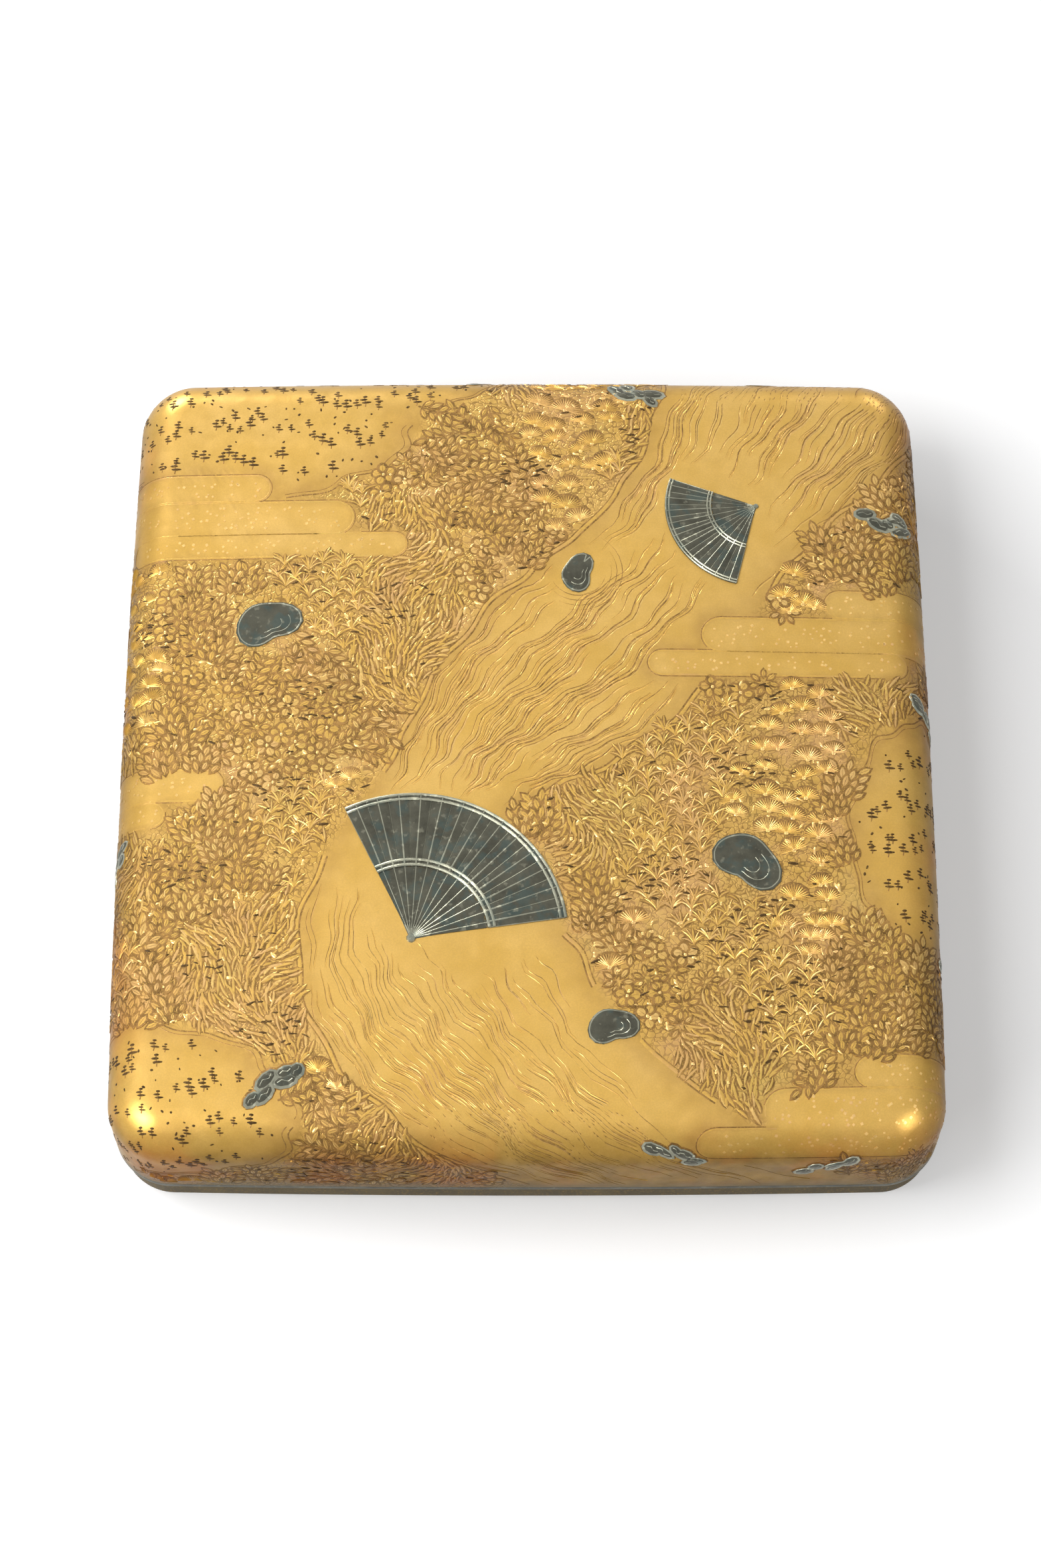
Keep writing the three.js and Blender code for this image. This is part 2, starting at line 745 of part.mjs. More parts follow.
// The ink stick holder: two jaws on a heel, and a ring that slides along them to tighten the grip.
function makeHolder() {
  const jaw = block(jawThickness, holderLength, jawHeight).translate(0, holderLength / 2, 0);
  const heel = block(jawGap, heelLength, jawHeight).translate(0, heelLength / 2, 0);
  const jawOffset = (jawGap + jawThickness) / 2;
  return groupOf(
    part("holder_jaw_left", jaw, bamboo, [inkLaneMiddle - jawOffset, holderStart, holderBase]),
    part("holder_jaw_right", jaw, bamboo, [inkLaneMiddle + jawOffset, holderStart, holderBase]),
    part("holder_heel", heel, bamboo, [inkLaneMiddle, holderStart, holderBase]),
  );
}

function makeHolderRing() {
  const insideX = jawGap + 2 * jawThickness + 2 * slidingFit;
  const insideZ = jawHeight + 2 * slidingFit;
  const outline = evenRectangle(insideX + 2 * ringWall, insideZ + 2 * ringWall, 2 * ringWall);
  const hole = evenRectangle(insideX, insideZ, ringWall);
  const ring = slab(outline, 0, ringLength, [hole]).rotateX(-Math.PI / 2);
  const y = holderStart + ringSetback;
  return groupOf(part("holder_ring", ring, silver, [inkLaneMiddle, y, holderBase + jawHeight / 2]));
}

// The paper knife: a flat rounded handle, a metal collar and a blade ground to a point.
function makeKnife() {
  const handleSpan = 2 * laneHalfLength - 2 * knifeEndRoom - knifeBladeLength - knifeCollarLength;
  const start = -laneHalfLength + knifeEndRoom;
  const section = (x, z) => evenRectangle(x, z, z * 0.4);
  const along = (outline, from, to) => slab(outline, from, to).rotateX(-Math.PI / 2);
  const handle = along(section(knifeHandleWidth, knifeHandleHeight), 0, handleSpan);
  const collar = along(
    section(knifeHandleWidth - knifeCollarStep, knifeHandleHeight - knifeCollarStep),
    handleSpan,
    handleSpan + knifeCollarLength,
  );
  const root = handleSpan + knifeCollarLength;
  const half = knifeBladeWidth / 2;
  const blade = slab(
    [
      new THREE.Vector2(-half, root),
      new THREE.Vector2(half, root),
      new THREE.Vector2(half, root + knifeBladeLength * 0.62),
      new THREE.Vector2(half * 0.3, root + knifeBladeLength * 0.86),
      new THREE.Vector2(-half, root + knifeBladeLength),
    ],
    -knifeBladeThickness / 2,
    knifeBladeThickness / 2,
  );
  const place = [knifeLaneMiddle, start, toolBase + knifeHandleHeight / 2];
  return groupOf(
    part("knife_handle", handle, bamboo, place),
    part("knife_collar", collar, silver, place),
    part("knife_blade", blade, steel, place),
  );
}

const writingBox = groupOf(
  makeBody(),
  makeLid(),
  makeBoard(),
  makeInkStone(),
  makeDropper(),
  makeLeftTray(),
  makeRightTray(),
  makeBrush("brush_left", -trayMiddle - brushSpacing / 2),
  makeBrush("brush_right", -trayMiddle + brushSpacing / 2),
  makeInkStick(),
  makeHolder(),
  makeHolderRing(),
  makeKnife(),
);

export default writingBox;
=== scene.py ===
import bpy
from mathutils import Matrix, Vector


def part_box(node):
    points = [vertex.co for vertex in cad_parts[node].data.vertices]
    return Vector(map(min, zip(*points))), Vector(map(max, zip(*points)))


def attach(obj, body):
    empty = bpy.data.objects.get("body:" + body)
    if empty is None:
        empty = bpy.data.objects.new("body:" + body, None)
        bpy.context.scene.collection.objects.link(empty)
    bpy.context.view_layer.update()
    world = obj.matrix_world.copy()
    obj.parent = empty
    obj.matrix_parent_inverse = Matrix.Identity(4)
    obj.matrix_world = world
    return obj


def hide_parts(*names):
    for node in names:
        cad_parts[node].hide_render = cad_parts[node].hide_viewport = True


bl_info = {
    "name": "Writing box",
    "version": (1, 0, 0),
    "blender": (4, 5, 0),
    "location": "3D View > Sidebar > Writing box",
    "description": "Dresses a lacquered writing box: gold lid in low relief, trays, ink stone and tools",
    "category": "Add Mesh",
}

import math
from functools import cached_property

import bmesh
import bpy
import numpy as np
from bpy.props import FloatProperty, FloatVectorProperty, IntProperty, PointerProperty
from bpy.types import Operator, Panel, PropertyGroup
from mathutils import Vector

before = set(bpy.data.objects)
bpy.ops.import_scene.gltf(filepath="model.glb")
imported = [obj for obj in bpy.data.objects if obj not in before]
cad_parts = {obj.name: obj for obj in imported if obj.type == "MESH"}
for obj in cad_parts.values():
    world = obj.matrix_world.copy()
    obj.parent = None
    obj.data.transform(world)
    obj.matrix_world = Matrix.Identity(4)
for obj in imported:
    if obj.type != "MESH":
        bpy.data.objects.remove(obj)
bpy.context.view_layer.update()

MM = 0.001
TRIANGLES_PER_PIECE = 180000
SIDES = ("back", "left", "front", "right")
MERGE = 1e-6  # metres within which points are one
ROOT = -0.03  # where relief starts, just under the lid's face
LENGTH_STEPS = 5  # steps in one closed length of a long line
STREAM_STEPS = 400  # points along the stream
HEXAGON_ROW = 0.866  # distance of a hexagonal net's rows, as a share of its pitch
SHEET_UNIT = 10  # millimetres of the design's sheet in one unit of its texture
COARSE_RING, FINE_RING = (20, 44), (24, 84)  # steps in a corner and along a side
FLOOR_REACH = 3000.0


# Sizes and colours


def length(name, description, default):
    return FloatProperty(name=name, description=description, default=default, unit="LENGTH", precision=5)


def colour(name, description, default):
    return FloatVectorProperty(
        name=name, description=description, default=default, subtype="COLOR", size=3, min=0, max=1
    )


def number(name, description, default):
    return FloatProperty(name=name, description=description, default=default)


def spot(name, description, default):
    return FloatVectorProperty(
        name=name, description=description, default=default, subtype="TRANSLATION", size=3
    )


class WritingBoxLid(PropertyGroup):
    width: length("Width", "Width of the closed box, from left to right", 0.218)
    depth: length("Depth", "Depth of the closed box, from front to back", 0.230)
    height: length("Height", "Height of the closed box", 0.044)
    side_bow: length("Side bow", "How far each side swells outwards in its middle", 0.0012)
    corner_radius: length("Corner radius", "Radius of the plan's corners", 0.015)
    shoulder_run: length("Shoulder run", "How far the rounded shoulder reaches inwards", 0.012)
    shoulder_drop: length("Shoulder drop", "How far the rounded shoulder comes down", 0.014)
    dome_rise: length("Dome rise", "How far the middle stands over the shoulder", 0.002)
    wall: length("Wall", "Thickness of the lid's walls", 0.003)
    panel: length("Panel", "Thickness of the lid's panel", 0.0035)
    edge_height: length("Edge height", "Height of the lid's lower edge over the table", 0.009)
    rim_height: length("Rim height", "Height of the metal rim at the lid's lower edge", 0.0022)


class WritingBoxBody(PropertyGroup):
    ledge_reveal: length("Ledge reveal", "How far the foot stands back from the lid", 0.0012)
    ledge_top: length("Ledge top", "Height of the ledge that carries the lid", 0.0087)
    floor: length("Floor", "Thickness of the floor board", 0.005)
    wall_inset: length("Wall inset", "From the lid's face to the body's walls", 0.0036)
    cavity_inset: length("Cavity inset", "From the lid's face to the inside of the box", 0.0066)
    wall_top: length("Wall top", "Height of the body's walls with their rim", 0.028)
    rim: length("Rim", "Height of the metal rim on the body's walls", 0.0016)


class WritingBoxDesign(PropertyGroup):
    seed: IntProperty(name="Seed", description="Start of the random numbers of the design", default=11)
    line: length("Line width", "Width of a drawn line", 0.00042)
    relief: length("Relief", "Height of the raised leaves over the ground", 0.00022)
    leaf: length("Leaf length", "Length of a common leaf", 0.0035)


class WritingBoxColours(PropertyGroup):
    gold: colour("Gold", "Polished gold ground", (0.78, 0.48, 0.110))
    pale_gold: colour("Pale gold", "Freshly sprinkled gold", (0.90, 0.61, 0.22))
    red_gold: colour("Red gold", "Worn gold with the red undercoat near", (0.70, 0.40, 0.18))
    cold_gold: colour("Cold gold", "Gold with much silver in it, in slow drifts", (0.64, 0.48, 0.14))
    line_brown: colour("Line brown", "Drawn lines and the ground between leaves", (0.26, 0.143, 0.044))
    # The Worn and Rubbed tints below darken the shoulder and walls: worn gold and painted shade together.
    worn: colour("Worn", "What wear on the shoulder leaves of each gold", (0.34, 0.30, 0.13))
    rubbed: colour("Rubbed", "What wear leaves where the red undercoat shows", (0.45, 0.28, 0.09))
    # The next colour is the darker grey green close to the lid's lower edge and on the foot.
    low_edge_green: colour("Grime", "Grey green bloom at the lid's lower edge", (0.150, 0.118, 0.062))
    silver: colour("Silver", "Tarnished silver inlay", (0.080, 0.078, 0.058))
    pale_silver: colour("Pale silver", "Silver lines and edges kept bright by touch", (0.25, 0.25, 0.19))
    rim_silver: colour("Rim silver", "Tarnished silver of the rims", (0.076, 0.071, 0.046))
    amber: colour("Amber lacquer", "Clear lacquer over sprinkled gold", (0.27, 0.105, 0.018))
    lacquer: colour("Dark lacquer", "Brown black lacquer of the handles", (0.030, 0.011, 0.006))
    slate: colour("Slate", "Ink stone", (0.030, 0.031, 0.036))
    copper: colour("Copper", "Patinated copper of the water dropper", (0.29, 0.20, 0.12))
    steel: colour("Steel", "Blade of the paper knife", (0.47, 0.49, 0.50))
    hair: colour("Hair", "Goat hair of the brushes", (0.62, 0.49, 0.30))


class WritingBoxStage(PropertyGroup):
    camera_place: spot("Camera place", "Where the camera stands", (-0.0016, -0.3971, 0.8798))
    camera_aim: spot("Camera aim", "What the camera looks at", (-0.0016, -0.0034, 0.02))
    lens: number("Lens", "Focal length in millimetres", 79.9)
    left_power: number("Left lamps", "Power of each lamp at the left, in watts", 9.0)
    right_power: number("Right lamps", "Power of each lamp at the right, in watts", 3.2)
    panel_power: number("Left panel", "Power of the wide panel at the left, in watts", 4.7)
    sky: number("Sky", "Strength of the even light from all round", 0.25)
    floor_lift: number("Floor lift", "What is added to the floor where it is seen", 0.38)


class WritingBoxSettings(PropertyGroup):
    lid: PointerProperty(type=WritingBoxLid)
    body: PointerProperty(type=WritingBoxBody)
    design: PointerProperty(type=WritingBoxDesign)
    colours: PointerProperty(type=WritingBoxColours)
    stage: PointerProperty(type=WritingBoxStage)


# Meshes


def linked(name, data):
    """An object of the scene that shows the data."""
    thing = bpy.data.objects.new(name, data)
    bpy.context.scene.collection.objects.link(thing)
    return thing


def aimed(name, data, place, aim):
    """An object that stands at a place and looks at another."""
    thing = linked(name, data)
    thing.location = place
    thing.rotation_euler = (Vector(aim) - Vector(place)).to_track_quat("-Z", "Y").to_euler()
    return thing


def pair(a, b):
    return np.stack([a, b], -1)


def join(*parts, axis=0):
    return np.concatenate(parts, axis)


def spread(value, *shape):
    """The value, or values, repeated to fill the shape."""
    return np.broadcast_to(np.asarray(value, float), shape)


def put_mesh(name, points, faces, smooth=True, sharp=None, uv=None, values=None):
    """A mesh object from points in millimetres and a list of arrays of corner numbers, one row a face.
    uv is one pair for each point; values holds a number for each point under each attribute's name."""
    faces = [f for f in faces if f is not None and len(f)]
    corners = np.concatenate([np.asarray(f).ravel() for f in faces]).astype(np.int32)
    counts = np.concatenate([np.full(len(f), np.shape(f)[1]) for f in faces])
    starts = join([0], np.cumsum(counts)[:-1]).astype(np.int32)
    points = np.asarray(points, float).reshape(-1, 3) * MM
    mesh = bpy.data.meshes.new(name)
    mesh.vertices.add(len(points))
    mesh.vertices.foreach_set("co", points.astype(np.float32).ravel())
    mesh.loops.add(len(corners))
    mesh.loops.foreach_set("vertex_index", corners)
    mesh.polygons.add(len(counts))
    mesh.polygons.foreach_set("loop_start", starts)
    mesh.update(calc_edges=True)
    mesh.polygons.foreach_set("use_smooth", np.full(len(counts), smooth))
    if sharp:
        mesh.set_sharp_from_angle(angle=math.radians(sharp))
    if uv is not None:
        layer = mesh.uv_layers.new(name="Design")
        layer.data.foreach_set("uv", np.asarray(uv, np.float32)[corners].ravel())
    for key, numbers in (values or {}).items():
        attribute = mesh.attributes.new(key, "FLOAT", "POINT")
        attribute.data.foreach_set("value", np.asarray(numbers, np.float32).ravel())
    return linked(name, mesh)


def finish(piece, key, body, slot, *nodes):
    """The piece gets its material, rides on its body, and stands for the CAD nodes it replaces."""
    piece.data.materials.clear()
    piece.data.materials.append(material(key))
    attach(piece, body)
    if nodes:
        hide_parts(*nodes)
    return piece


def grid_faces(rows, columns, loop_closed=False, first=0):
    """Quads between neighbouring rows of a grid of points. A row is counterclockwise seen from above
    and the rows rise, so the faces point outwards. loop_closed joins the last row to the first."""
    index = first + np.arange(rows * columns).reshape(rows, columns)
    low = index if loop_closed else index[:-1]
    high = np.roll(index, -1, axis=0) if loop_closed else index[1:]
    return np.stack([low, np.roll(low, -1, 1), np.roll(high, -1, 1), high], -1).reshape(-1, 4)


def fan(ring, tip, under=False):
    """Triangles from a ring of point numbers to the number of a tip over it, or under it."""
    there = np.roll(ring, -1)
    return np.stack([*((there, ring) if under else (ring, there)), np.full(len(ring), tip)], -1)


def closed_skin(rows, ends="poles"):
    """Points and faces of a closed surface over a grid of rows. "poles" closes the first and the last
    row by a fan to its middle, "loop" joins the last row to the first."""
    rows = np.asarray(rows, float)
    count, around = rows.shape[:2]
    points = rows.reshape(-1, 3)
    if ends == "loop":
        return points, [grid_faces(count, around, loop_closed=True)]
    first, ring = len(points), np.arange(around)
    points = join(points, rows[0].mean(0)[None], rows[-1].mean(0)[None])
    over = fan(ring + first - around, first + 1)
    return points, [grid_faces(count, around), fan(ring, first, under=True), over]


def eased(corners, radii, steps=4):
    """A polygon with its corners rounded: each corner C becomes the curve (1-t)^2 A + 2t(1-t) C + t^2 B,
    where A and B lie on its two edges at the corner's radius."""
    corners = np.asarray(corners, float)
    radii = spread(radii, len(corners))[:, None]
    before = np.roll(corners, 1, 0) - corners
    after = np.roll(corners, -1, 0) - corners
    a = corners + before / np.linalg.norm(before, axis=1, keepdims=True) * radii
    b = corners + after / np.linalg.norm(after, axis=1, keepdims=True) * radii
    t = np.linspace(0, 1, steps + 1)[None, :, None]
    curves = (1 - t) ** 2 * a[:, None] + 2 * t * (1 - t) * corners[:, None] + t**2 * b[:, None]
    return curves.reshape(-1, corners.shape[1])


def ring_pattern(corner_steps, side_steps):
    """Signs S and directions D of a rounded rectangle's points, so that a point is
    S * (half size - radius) + radius * D. It starts at the back end of the right side."""
    signs = np.array([[1, 1], [-1, 1], [-1, -1], [1, -1]], float)
    angles = (np.arange(4)[:, None] + np.linspace(0, 1, corner_steps + 1)) * math.pi / 2
    arc_dirs = pair(np.cos(angles), np.sin(angles))
    arc_signs = np.repeat(signs[:, None], corner_steps + 1, 1)
    t = (np.arange(1, side_steps + 1) / (side_steps + 1))[None, :, None]
    side_signs = signs[:, None] * (1 - t) + np.roll(signs, -1, 0)[:, None] * t
    side_dirs = np.repeat(arc_dirs[:, -1:], side_steps, 1)
    return (
        join(arc_signs, side_signs, axis=1).reshape(-1, 2),
        join(arc_dirs, side_dirs, axis=1).reshape(-1, 2),
    )


class LidForm:
    """The lid's outer face as a function of a flat design sheet (u, v), all in millimetres. Inside the
    shoulder the sheet is the plan. Outside it, the distance d from the shoulder's inner edge runs down
    the quarter ellipse of the shoulder and then down the wall."""

    def __init__(self, lid):
        mm = lambda value: value / MM
        self.width, self.depth, self.height = mm(lid.width), mm(lid.depth), mm(lid.height)
        self.bow, self.corner = mm(lid.side_bow), mm(lid.corner_radius)
        self.run, self.drop, self.rise = mm(lid.shoulder_run), mm(lid.shoulder_drop), mm(lid.dome_rise)
        self.wall, self.panel = mm(lid.wall), mm(lid.panel)
        self.edge, self.rim = mm(lid.edge_height), mm(lid.rim_height)
        self.foot = self.edge + self.rim
        self.half = np.array([self.width / 2, self.depth / 2]) - self.bow - self.run
        self.plan_corner = self.corner - self.run
        self.angles = np.linspace(math.pi / 2, 0, 241)
        step = np.hypot(self.run * np.sin(self.angles), self.drop * np.cos(self.angles))
        pieces = (step[1:] + step[:-1]) / 2 * (self.angles[0] - self.angles[1])
        self.lengths = join([0], np.cumsum(pieces))
        self.shoulder = self.lengths[-1]
        self.shoulder_foot = self.height - self.rise - self.drop
        self.reach = self.shoulder + self.shoulder_foot - self.foot

    def fall(self, x, y):
        """How far the dome lies under its crown: rise * (1 - (1 - X^2)(1 - Y^2)), with X and Y the
        shares of the way to the shoulder."""
        across = np.clip(1 - (x / (self.width / 2 - self.run)) ** 2, 0, 1)
        along = np.clip(1 - (y / (self.depth / 2 - self.run)) ** 2, 0, 1)
        return self.rise * (1 - across * along)

    def plan(self, inset, signs, directions):
        """Rings of the bowed rounded rectangle at each inset: x + bow (1 - (y/Y)^2) (x/X), and y alike."""
        inset = np.atleast_1d(np.asarray(inset, float))
        half = np.array([self.width / 2, self.depth / 2]) - self.bow - inset[:, None]
        radius = np.maximum(self.corner - inset, 0.8)[:, None, None]
        flat = signs * (half[:, None] - radius) + radius * directions
        share = flat / half[:, None]
        return flat + self.bow * (1 - share[..., ::-1] ** 2) * share

    def rows(self, profile, signs, directions):
        """Rings in space for a profile of (inset, height) pairs."""
        profile = np.asarray(profile, float)
        rings = self.plan(profile[:, 0], signs, directions)
        heights = np.broadcast_to(profile[:, 1][:, None, None], rings.shape[:2] + (1,))
        return join(rings, heights, axis=-1)

    def sheet_rings(self, distances, signs, directions):
        """Rings on the sheet at each distance outside the shoulder's inner edge."""
        radii = (self.plan_corner + np.asarray(distances, float))[:, None, None]
        return signs * (self.half - self.plan_corner) + radii * directions

    def on_sheet(self, x, y):
        """The place on the sheet of a point of the plan inside the shoulder, where only the bow acts."""
        half_x, half_y = self.half + 0.0
        u, v = x, y
        for _ in range(3):
            u = x - self.bow * (1 - (v / half_y) ** 2) * (u / half_x)
            v = y - self.bow * (1 - (u / half_x) ** 2) * (v / half_y)
        return u, v

    def distance(self, u, v):
        """Signed distance of a point of the sheet to the shoulder's inner edge, and the direction to it."""
        qx = np.abs(u) - (self.half[0] - self.plan_corner)
        qy = np.abs(v) - (self.half[1] - self.plan_corner)
        ox, oy = np.maximum(qx, 0), np.maximum(qy, 0)
        out = np.hypot(ox, oy)
        d = out + np.minimum(np.maximum(qx, qy), 0) - self.plan_corner
        safe = np.maximum(out, 1e-9)
        return d, np.sign(u) * ox / safe, np.sign(v) * oy / safe

    def face(self, u, v):
        """The point of the lid under a point of the sheet."""
        d, nx, ny = self.distance(u, v)
        down = np.maximum(d, 0)
        angle = np.interp(down, self.lengths, self.angles)
        below = np.maximum(down - self.shoulder, 0)
        reach = self.run * np.cos(angle)
        x = u + nx * (reach - down)
        y = v + ny * (reach - down)
        inset = self.run * (1 - np.cos(angle))
        half_x = self.width / 2 - self.bow - inset
        half_y = self.depth / 2 - self.bow - inset
        bowed_x = x + self.bow * (1 - (y / half_y) ** 2) * (x / half_x)
        bowed_y = y + self.bow * (1 - (x / half_x) ** 2) * (y / half_y)
        low = self.height - self.rise - self.drop * (1 - np.sin(angle)) - below
        top = self.height - self.fall(bowed_x, bowed_y)
        return np.stack([bowed_x, bowed_y, np.where(d > 0, low, top)], -1)

    def lifted(self, u, v, lift):
        """A point at a height over the lid, along its normal, which is the cross product of the
        differences along u and v."""
        step = 0.05
        along = self.face(u + step, v) - self.face(u - step, v)
        across = self.face(u, v + step) - self.face(u, v - step)
        normal = np.cross(along, across)
        normal /= np.maximum(np.linalg.norm(normal, axis=-1, keepdims=True), 1e-12)
        return self.face(u, v) + normal * np.asarray(lift, float)[..., None]


def bent(a, corner, b, steps=5):
    """The curve (1-t)^2 a + 2t(1-t) corner + t^2 b as a list of pairs."""
    t = np.linspace(0, 1, steps + 1)[:, None]
    a, corner, b = (np.asarray(p, float) for p in (a, corner, b))
    return ((1 - t) ** 2 * a + 2 * t * (1 - t) * corner + t**2 * b).tolist()


def on_axis(first, second, along, axis):
    """Points from two coordinates across an axis and one along it; across are the two axes that follow
    it in the order x, y, z."""
    points = np.empty(np.broadcast_shapes(np.shape(first), np.shape(along)) + (3,))
    points[..., (axis + 1) % 3] = first
    points[..., (axis + 2) % 3] = second
    points[..., axis] = along
    return points


def bar_rows(centre, half, radius, profile, axis=2, corner_steps=5, side_steps=3):
    """Rings of a rounded rectangle, one for each (inset, place along the axis): S (half - inset - r) + r D,
    with r the corner radius, or a radius for each ring."""
    signs, directions = ring_pattern(corner_steps, side_steps)
    profile = np.asarray(profile, float)
    size = np.asarray(half, float) - profile[:, :1]
    if np.ndim(radius) == 0:
        radius = radius - profile[:, 0]
    radius = np.clip(np.minimum(radius, size.min(1)), 0.0, None)[:, None, None]
    flat = signs * (size[:, None] - radius) + radius * directions
    return on_axis(centre[0] + flat[..., 0], centre[1] + flat[..., 1], profile[:, 1:], axis)


def turned_rows(centre, profile, axis=1, count=48, lobes=None):
    """Rings r (cos a, sin a) about an axis, one for each (radius, place along the axis). lobes gives what
    each ring's radius is multiplied by at each angle."""
    angle = np.arange(count) / count * 2 * math.pi
    profile = np.asarray(profile, float)
    radius = profile[:, :1] * (1 if lobes is None else lobes(angle[None], profile[:, 1:]))
    first, second = centre[0] + radius * np.cos(angle), centre[1] + radius * np.sin(angle)
    return on_axis(first, second, profile[:, 1:], axis)


def zipped_skin(rows):
    """A closed surface whose first ring is closed by a fan and whose last ring is a flat seam, where its
    two halves meet point by point."""
    points, faces = closed_skin(rows)
    return points[:-1], faces[:-1]


def band(form, outer, inner, low, high, radii, steps=4):
    """A closed band round the box, between two insets and two heights, with its corners rounded."""
    corners = [[outer, low], [outer, high], [inner, high], [inner, low]]
    return closed_skin(form.rows(eased(corners, radii, steps), *ring_pattern(*COARSE_RING)), "loop")


def weld(piece):
    data = bmesh.new()
    data.from_mesh(piece.data)
    bmesh.ops.remove_doubles(data, verts=data.verts, dist=MERGE)
    data.to_mesh(piece.data)
    data.free()
    return piece


def merged_copy(node, name, ease=0.0, steps=2, sharp=30):
    """A copy of a CAD node with its doubles merged and its flat faces joined, and its edges eased by a
    bevel of the given width in millimetres."""
    data = bmesh.new()
    data.from_mesh(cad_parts[node].data)
    bmesh.ops.remove_doubles(data, verts=data.verts, dist=MERGE)
    bmesh.ops.dissolve_limit(data, angle_limit=math.radians(1), verts=data.verts, edges=data.edges)
    mesh = bpy.data.meshes.new(name)
    data.to_mesh(mesh)
    data.free()
    mesh.shade_smooth()
    mesh.set_sharp_from_angle(angle=math.radians(sharp))
    piece = linked(name, mesh)
    if ease:
        bevel = piece.modifiers.new("Eased edges", "BEVEL")
        bevel.width = ease * MM
        bevel.segments = steps
        bevel.limit_method = "ANGLE"
        bevel.angle_limit = math.radians(sharp)
        bevel.harden_normals = True
    return piece


def recut(nodes, suffix, ease, sharp, key, body, slot):
    """CAD nodes carried over with eased edges, each under its name and a suffix."""
    for node in nodes:
        finish(merged_copy(node, node + suffix, ease, 3, sharp), key, body, slot, node)


# Materials


class Tree:
    """A node tree, with short calls that add its nodes and link them."""

    def __init__(self, tree):
        self.tree = tree
        self.tree.nodes.clear()

    def add(self, kind, inputs=None, **settings):
        node = self.tree.nodes.new(kind)
        for key, value in settings.items():
            setattr(node, key, value)
        for key, value in (inputs or {}).items():
            self.set(node.inputs[key], value)
        return node

    def set(self, socket, value):
        if isinstance(value, bpy.types.NodeSocket):
            self.tree.links.new(value, socket)
        elif socket.type == "RGBA" and len(value) == 3:
            socket.default_value = (*value, 1)
        else:
            socket.default_value = value

    def span(self, value, low, high, to_low=0.0, to_high=1.0):
        return self.add(
            "ShaderNodeMapRange",
            {"Value": value, "From Min": low, "From Max": high, "To Min": to_low, "To Max": to_high},
        ).outputs[0]

    def math(self, operation, a, b):
        return self.add("ShaderNodeMath", {0: a, 1: b}, operation=operation).outputs[0]

    def times(self, a, b):
        return self.math("MULTIPLY", a, b)

    def seen(self):
        """1 for the rays with which the camera, gloss and glass see a surface, 0 for those that light it."""
        path = self.add("ShaderNodeLightPath").outputs
        seen = self.math("MAXIMUM", path["Is Camera Ray"], path["Is Glossy Ray"])
        return self.math("MAXIMUM", seen, path["Is Transmission Ray"])


class Finish(Tree):
    """One material. Its noises lie in the piece's own place, unless they are given another vector."""

    def __init__(self, name):
        self.material = bpy.data.materials.new(name)
        self.material.use_nodes = True
        super().__init__(self.material.node_tree)
        self.shader = self.add("ShaderNodeBsdfPrincipled")
        self.add("ShaderNodeOutputMaterial", {"Surface": self.shader.outputs[0]})

    @cached_property
    def spot(self):
        return self.place()

    def surface(self, **inputs):
        for key, value in inputs.items():
            self.set(self.shader.inputs[key.replace("_", " ")], value)

    def place(self, scale=(1, 1, 1), turn=(0, 0, 0)):
        spot = self.add("ShaderNodeTexCoord").outputs["Object"]
        return self.add("ShaderNodeMapping", {"Vector": spot, "Scale": scale, "Rotation": turn}).outputs[0]

    def sheet(self):
        spot = self.add("ShaderNodeUVMap", uv_map="Design")
        return self.add("ShaderNodeMapping", {"Vector": spot.outputs[0]}).outputs[0]

    def value(self, name):
        return self.add("ShaderNodeAttribute", attribute_name=name).outputs["Fac"]

    def noise(self, scale, detail=4.0, rough=0.55, vector=None):
        inputs = {"Vector": vector or self.spot, "Scale": scale, "Detail": detail, "Roughness": rough}
        return self.add("ShaderNodeTexNoise", inputs).outputs[0]

    def patch(self, grain, low, high, to_low=0.0, to_high=1.0):
        """Noise with a grain of (scale, detail, roughness), spread out between low and high."""
        return self.span(self.noise(*grain), low, high, to_low, to_high)

    def mix(self, share, a, b, blend="MIX"):
        node = self.add("ShaderNodeMix", data_type="RGBA", blend_type=blend, clamp_factor=True)
        self.set(node.inputs[0], share)
        self.set(node.inputs[6], a)
        self.set(node.inputs[7], b)
        return node.outputs[2]

    def bump(self, height, strength, distance, normal=None):
        node = self.add("ShaderNodeBump", {"Height": height, "Strength": strength, "Distance": distance})
        if normal is not None:
            self.set(node.inputs["Normal"], normal)
        return node.outputs[0]


def ageing_and_shade(form, points):
    """How much each point of the lid is darkened, from its height. The first share, worn gold and painted
    shade together, rises down the shoulder as 3s^2 - 2s^3 with s = t^0.62, or t^0.42 on the left and
    right sides, which get more painted shade. The second share, a darker grey green, lies only close to
    the lower edge."""
    x, y = np.abs(points[:, 0]) / (form.width / 2), np.abs(points[:, 1]) / (form.depth / 2)
    side = np.clip((x - y) * 5 + 0.3, 0, 1)
    # The side share gives the left and right shoulders more painted shade.
    t = np.clip((form.height - form.rise + 0.3 - points[:, 2]) / (form.drop + 1), 0, 1) ** (0.62 - 0.2 * side)
    return {"wear_and_shade": t * t * (3 - 2 * t), "low_edge_green": np.clip((form.foot + 5 - points[:, 2]) / 6, 0, 1)}


def shade(colour, factor):
    return tuple(min(1.0, c * factor) for c in colour)


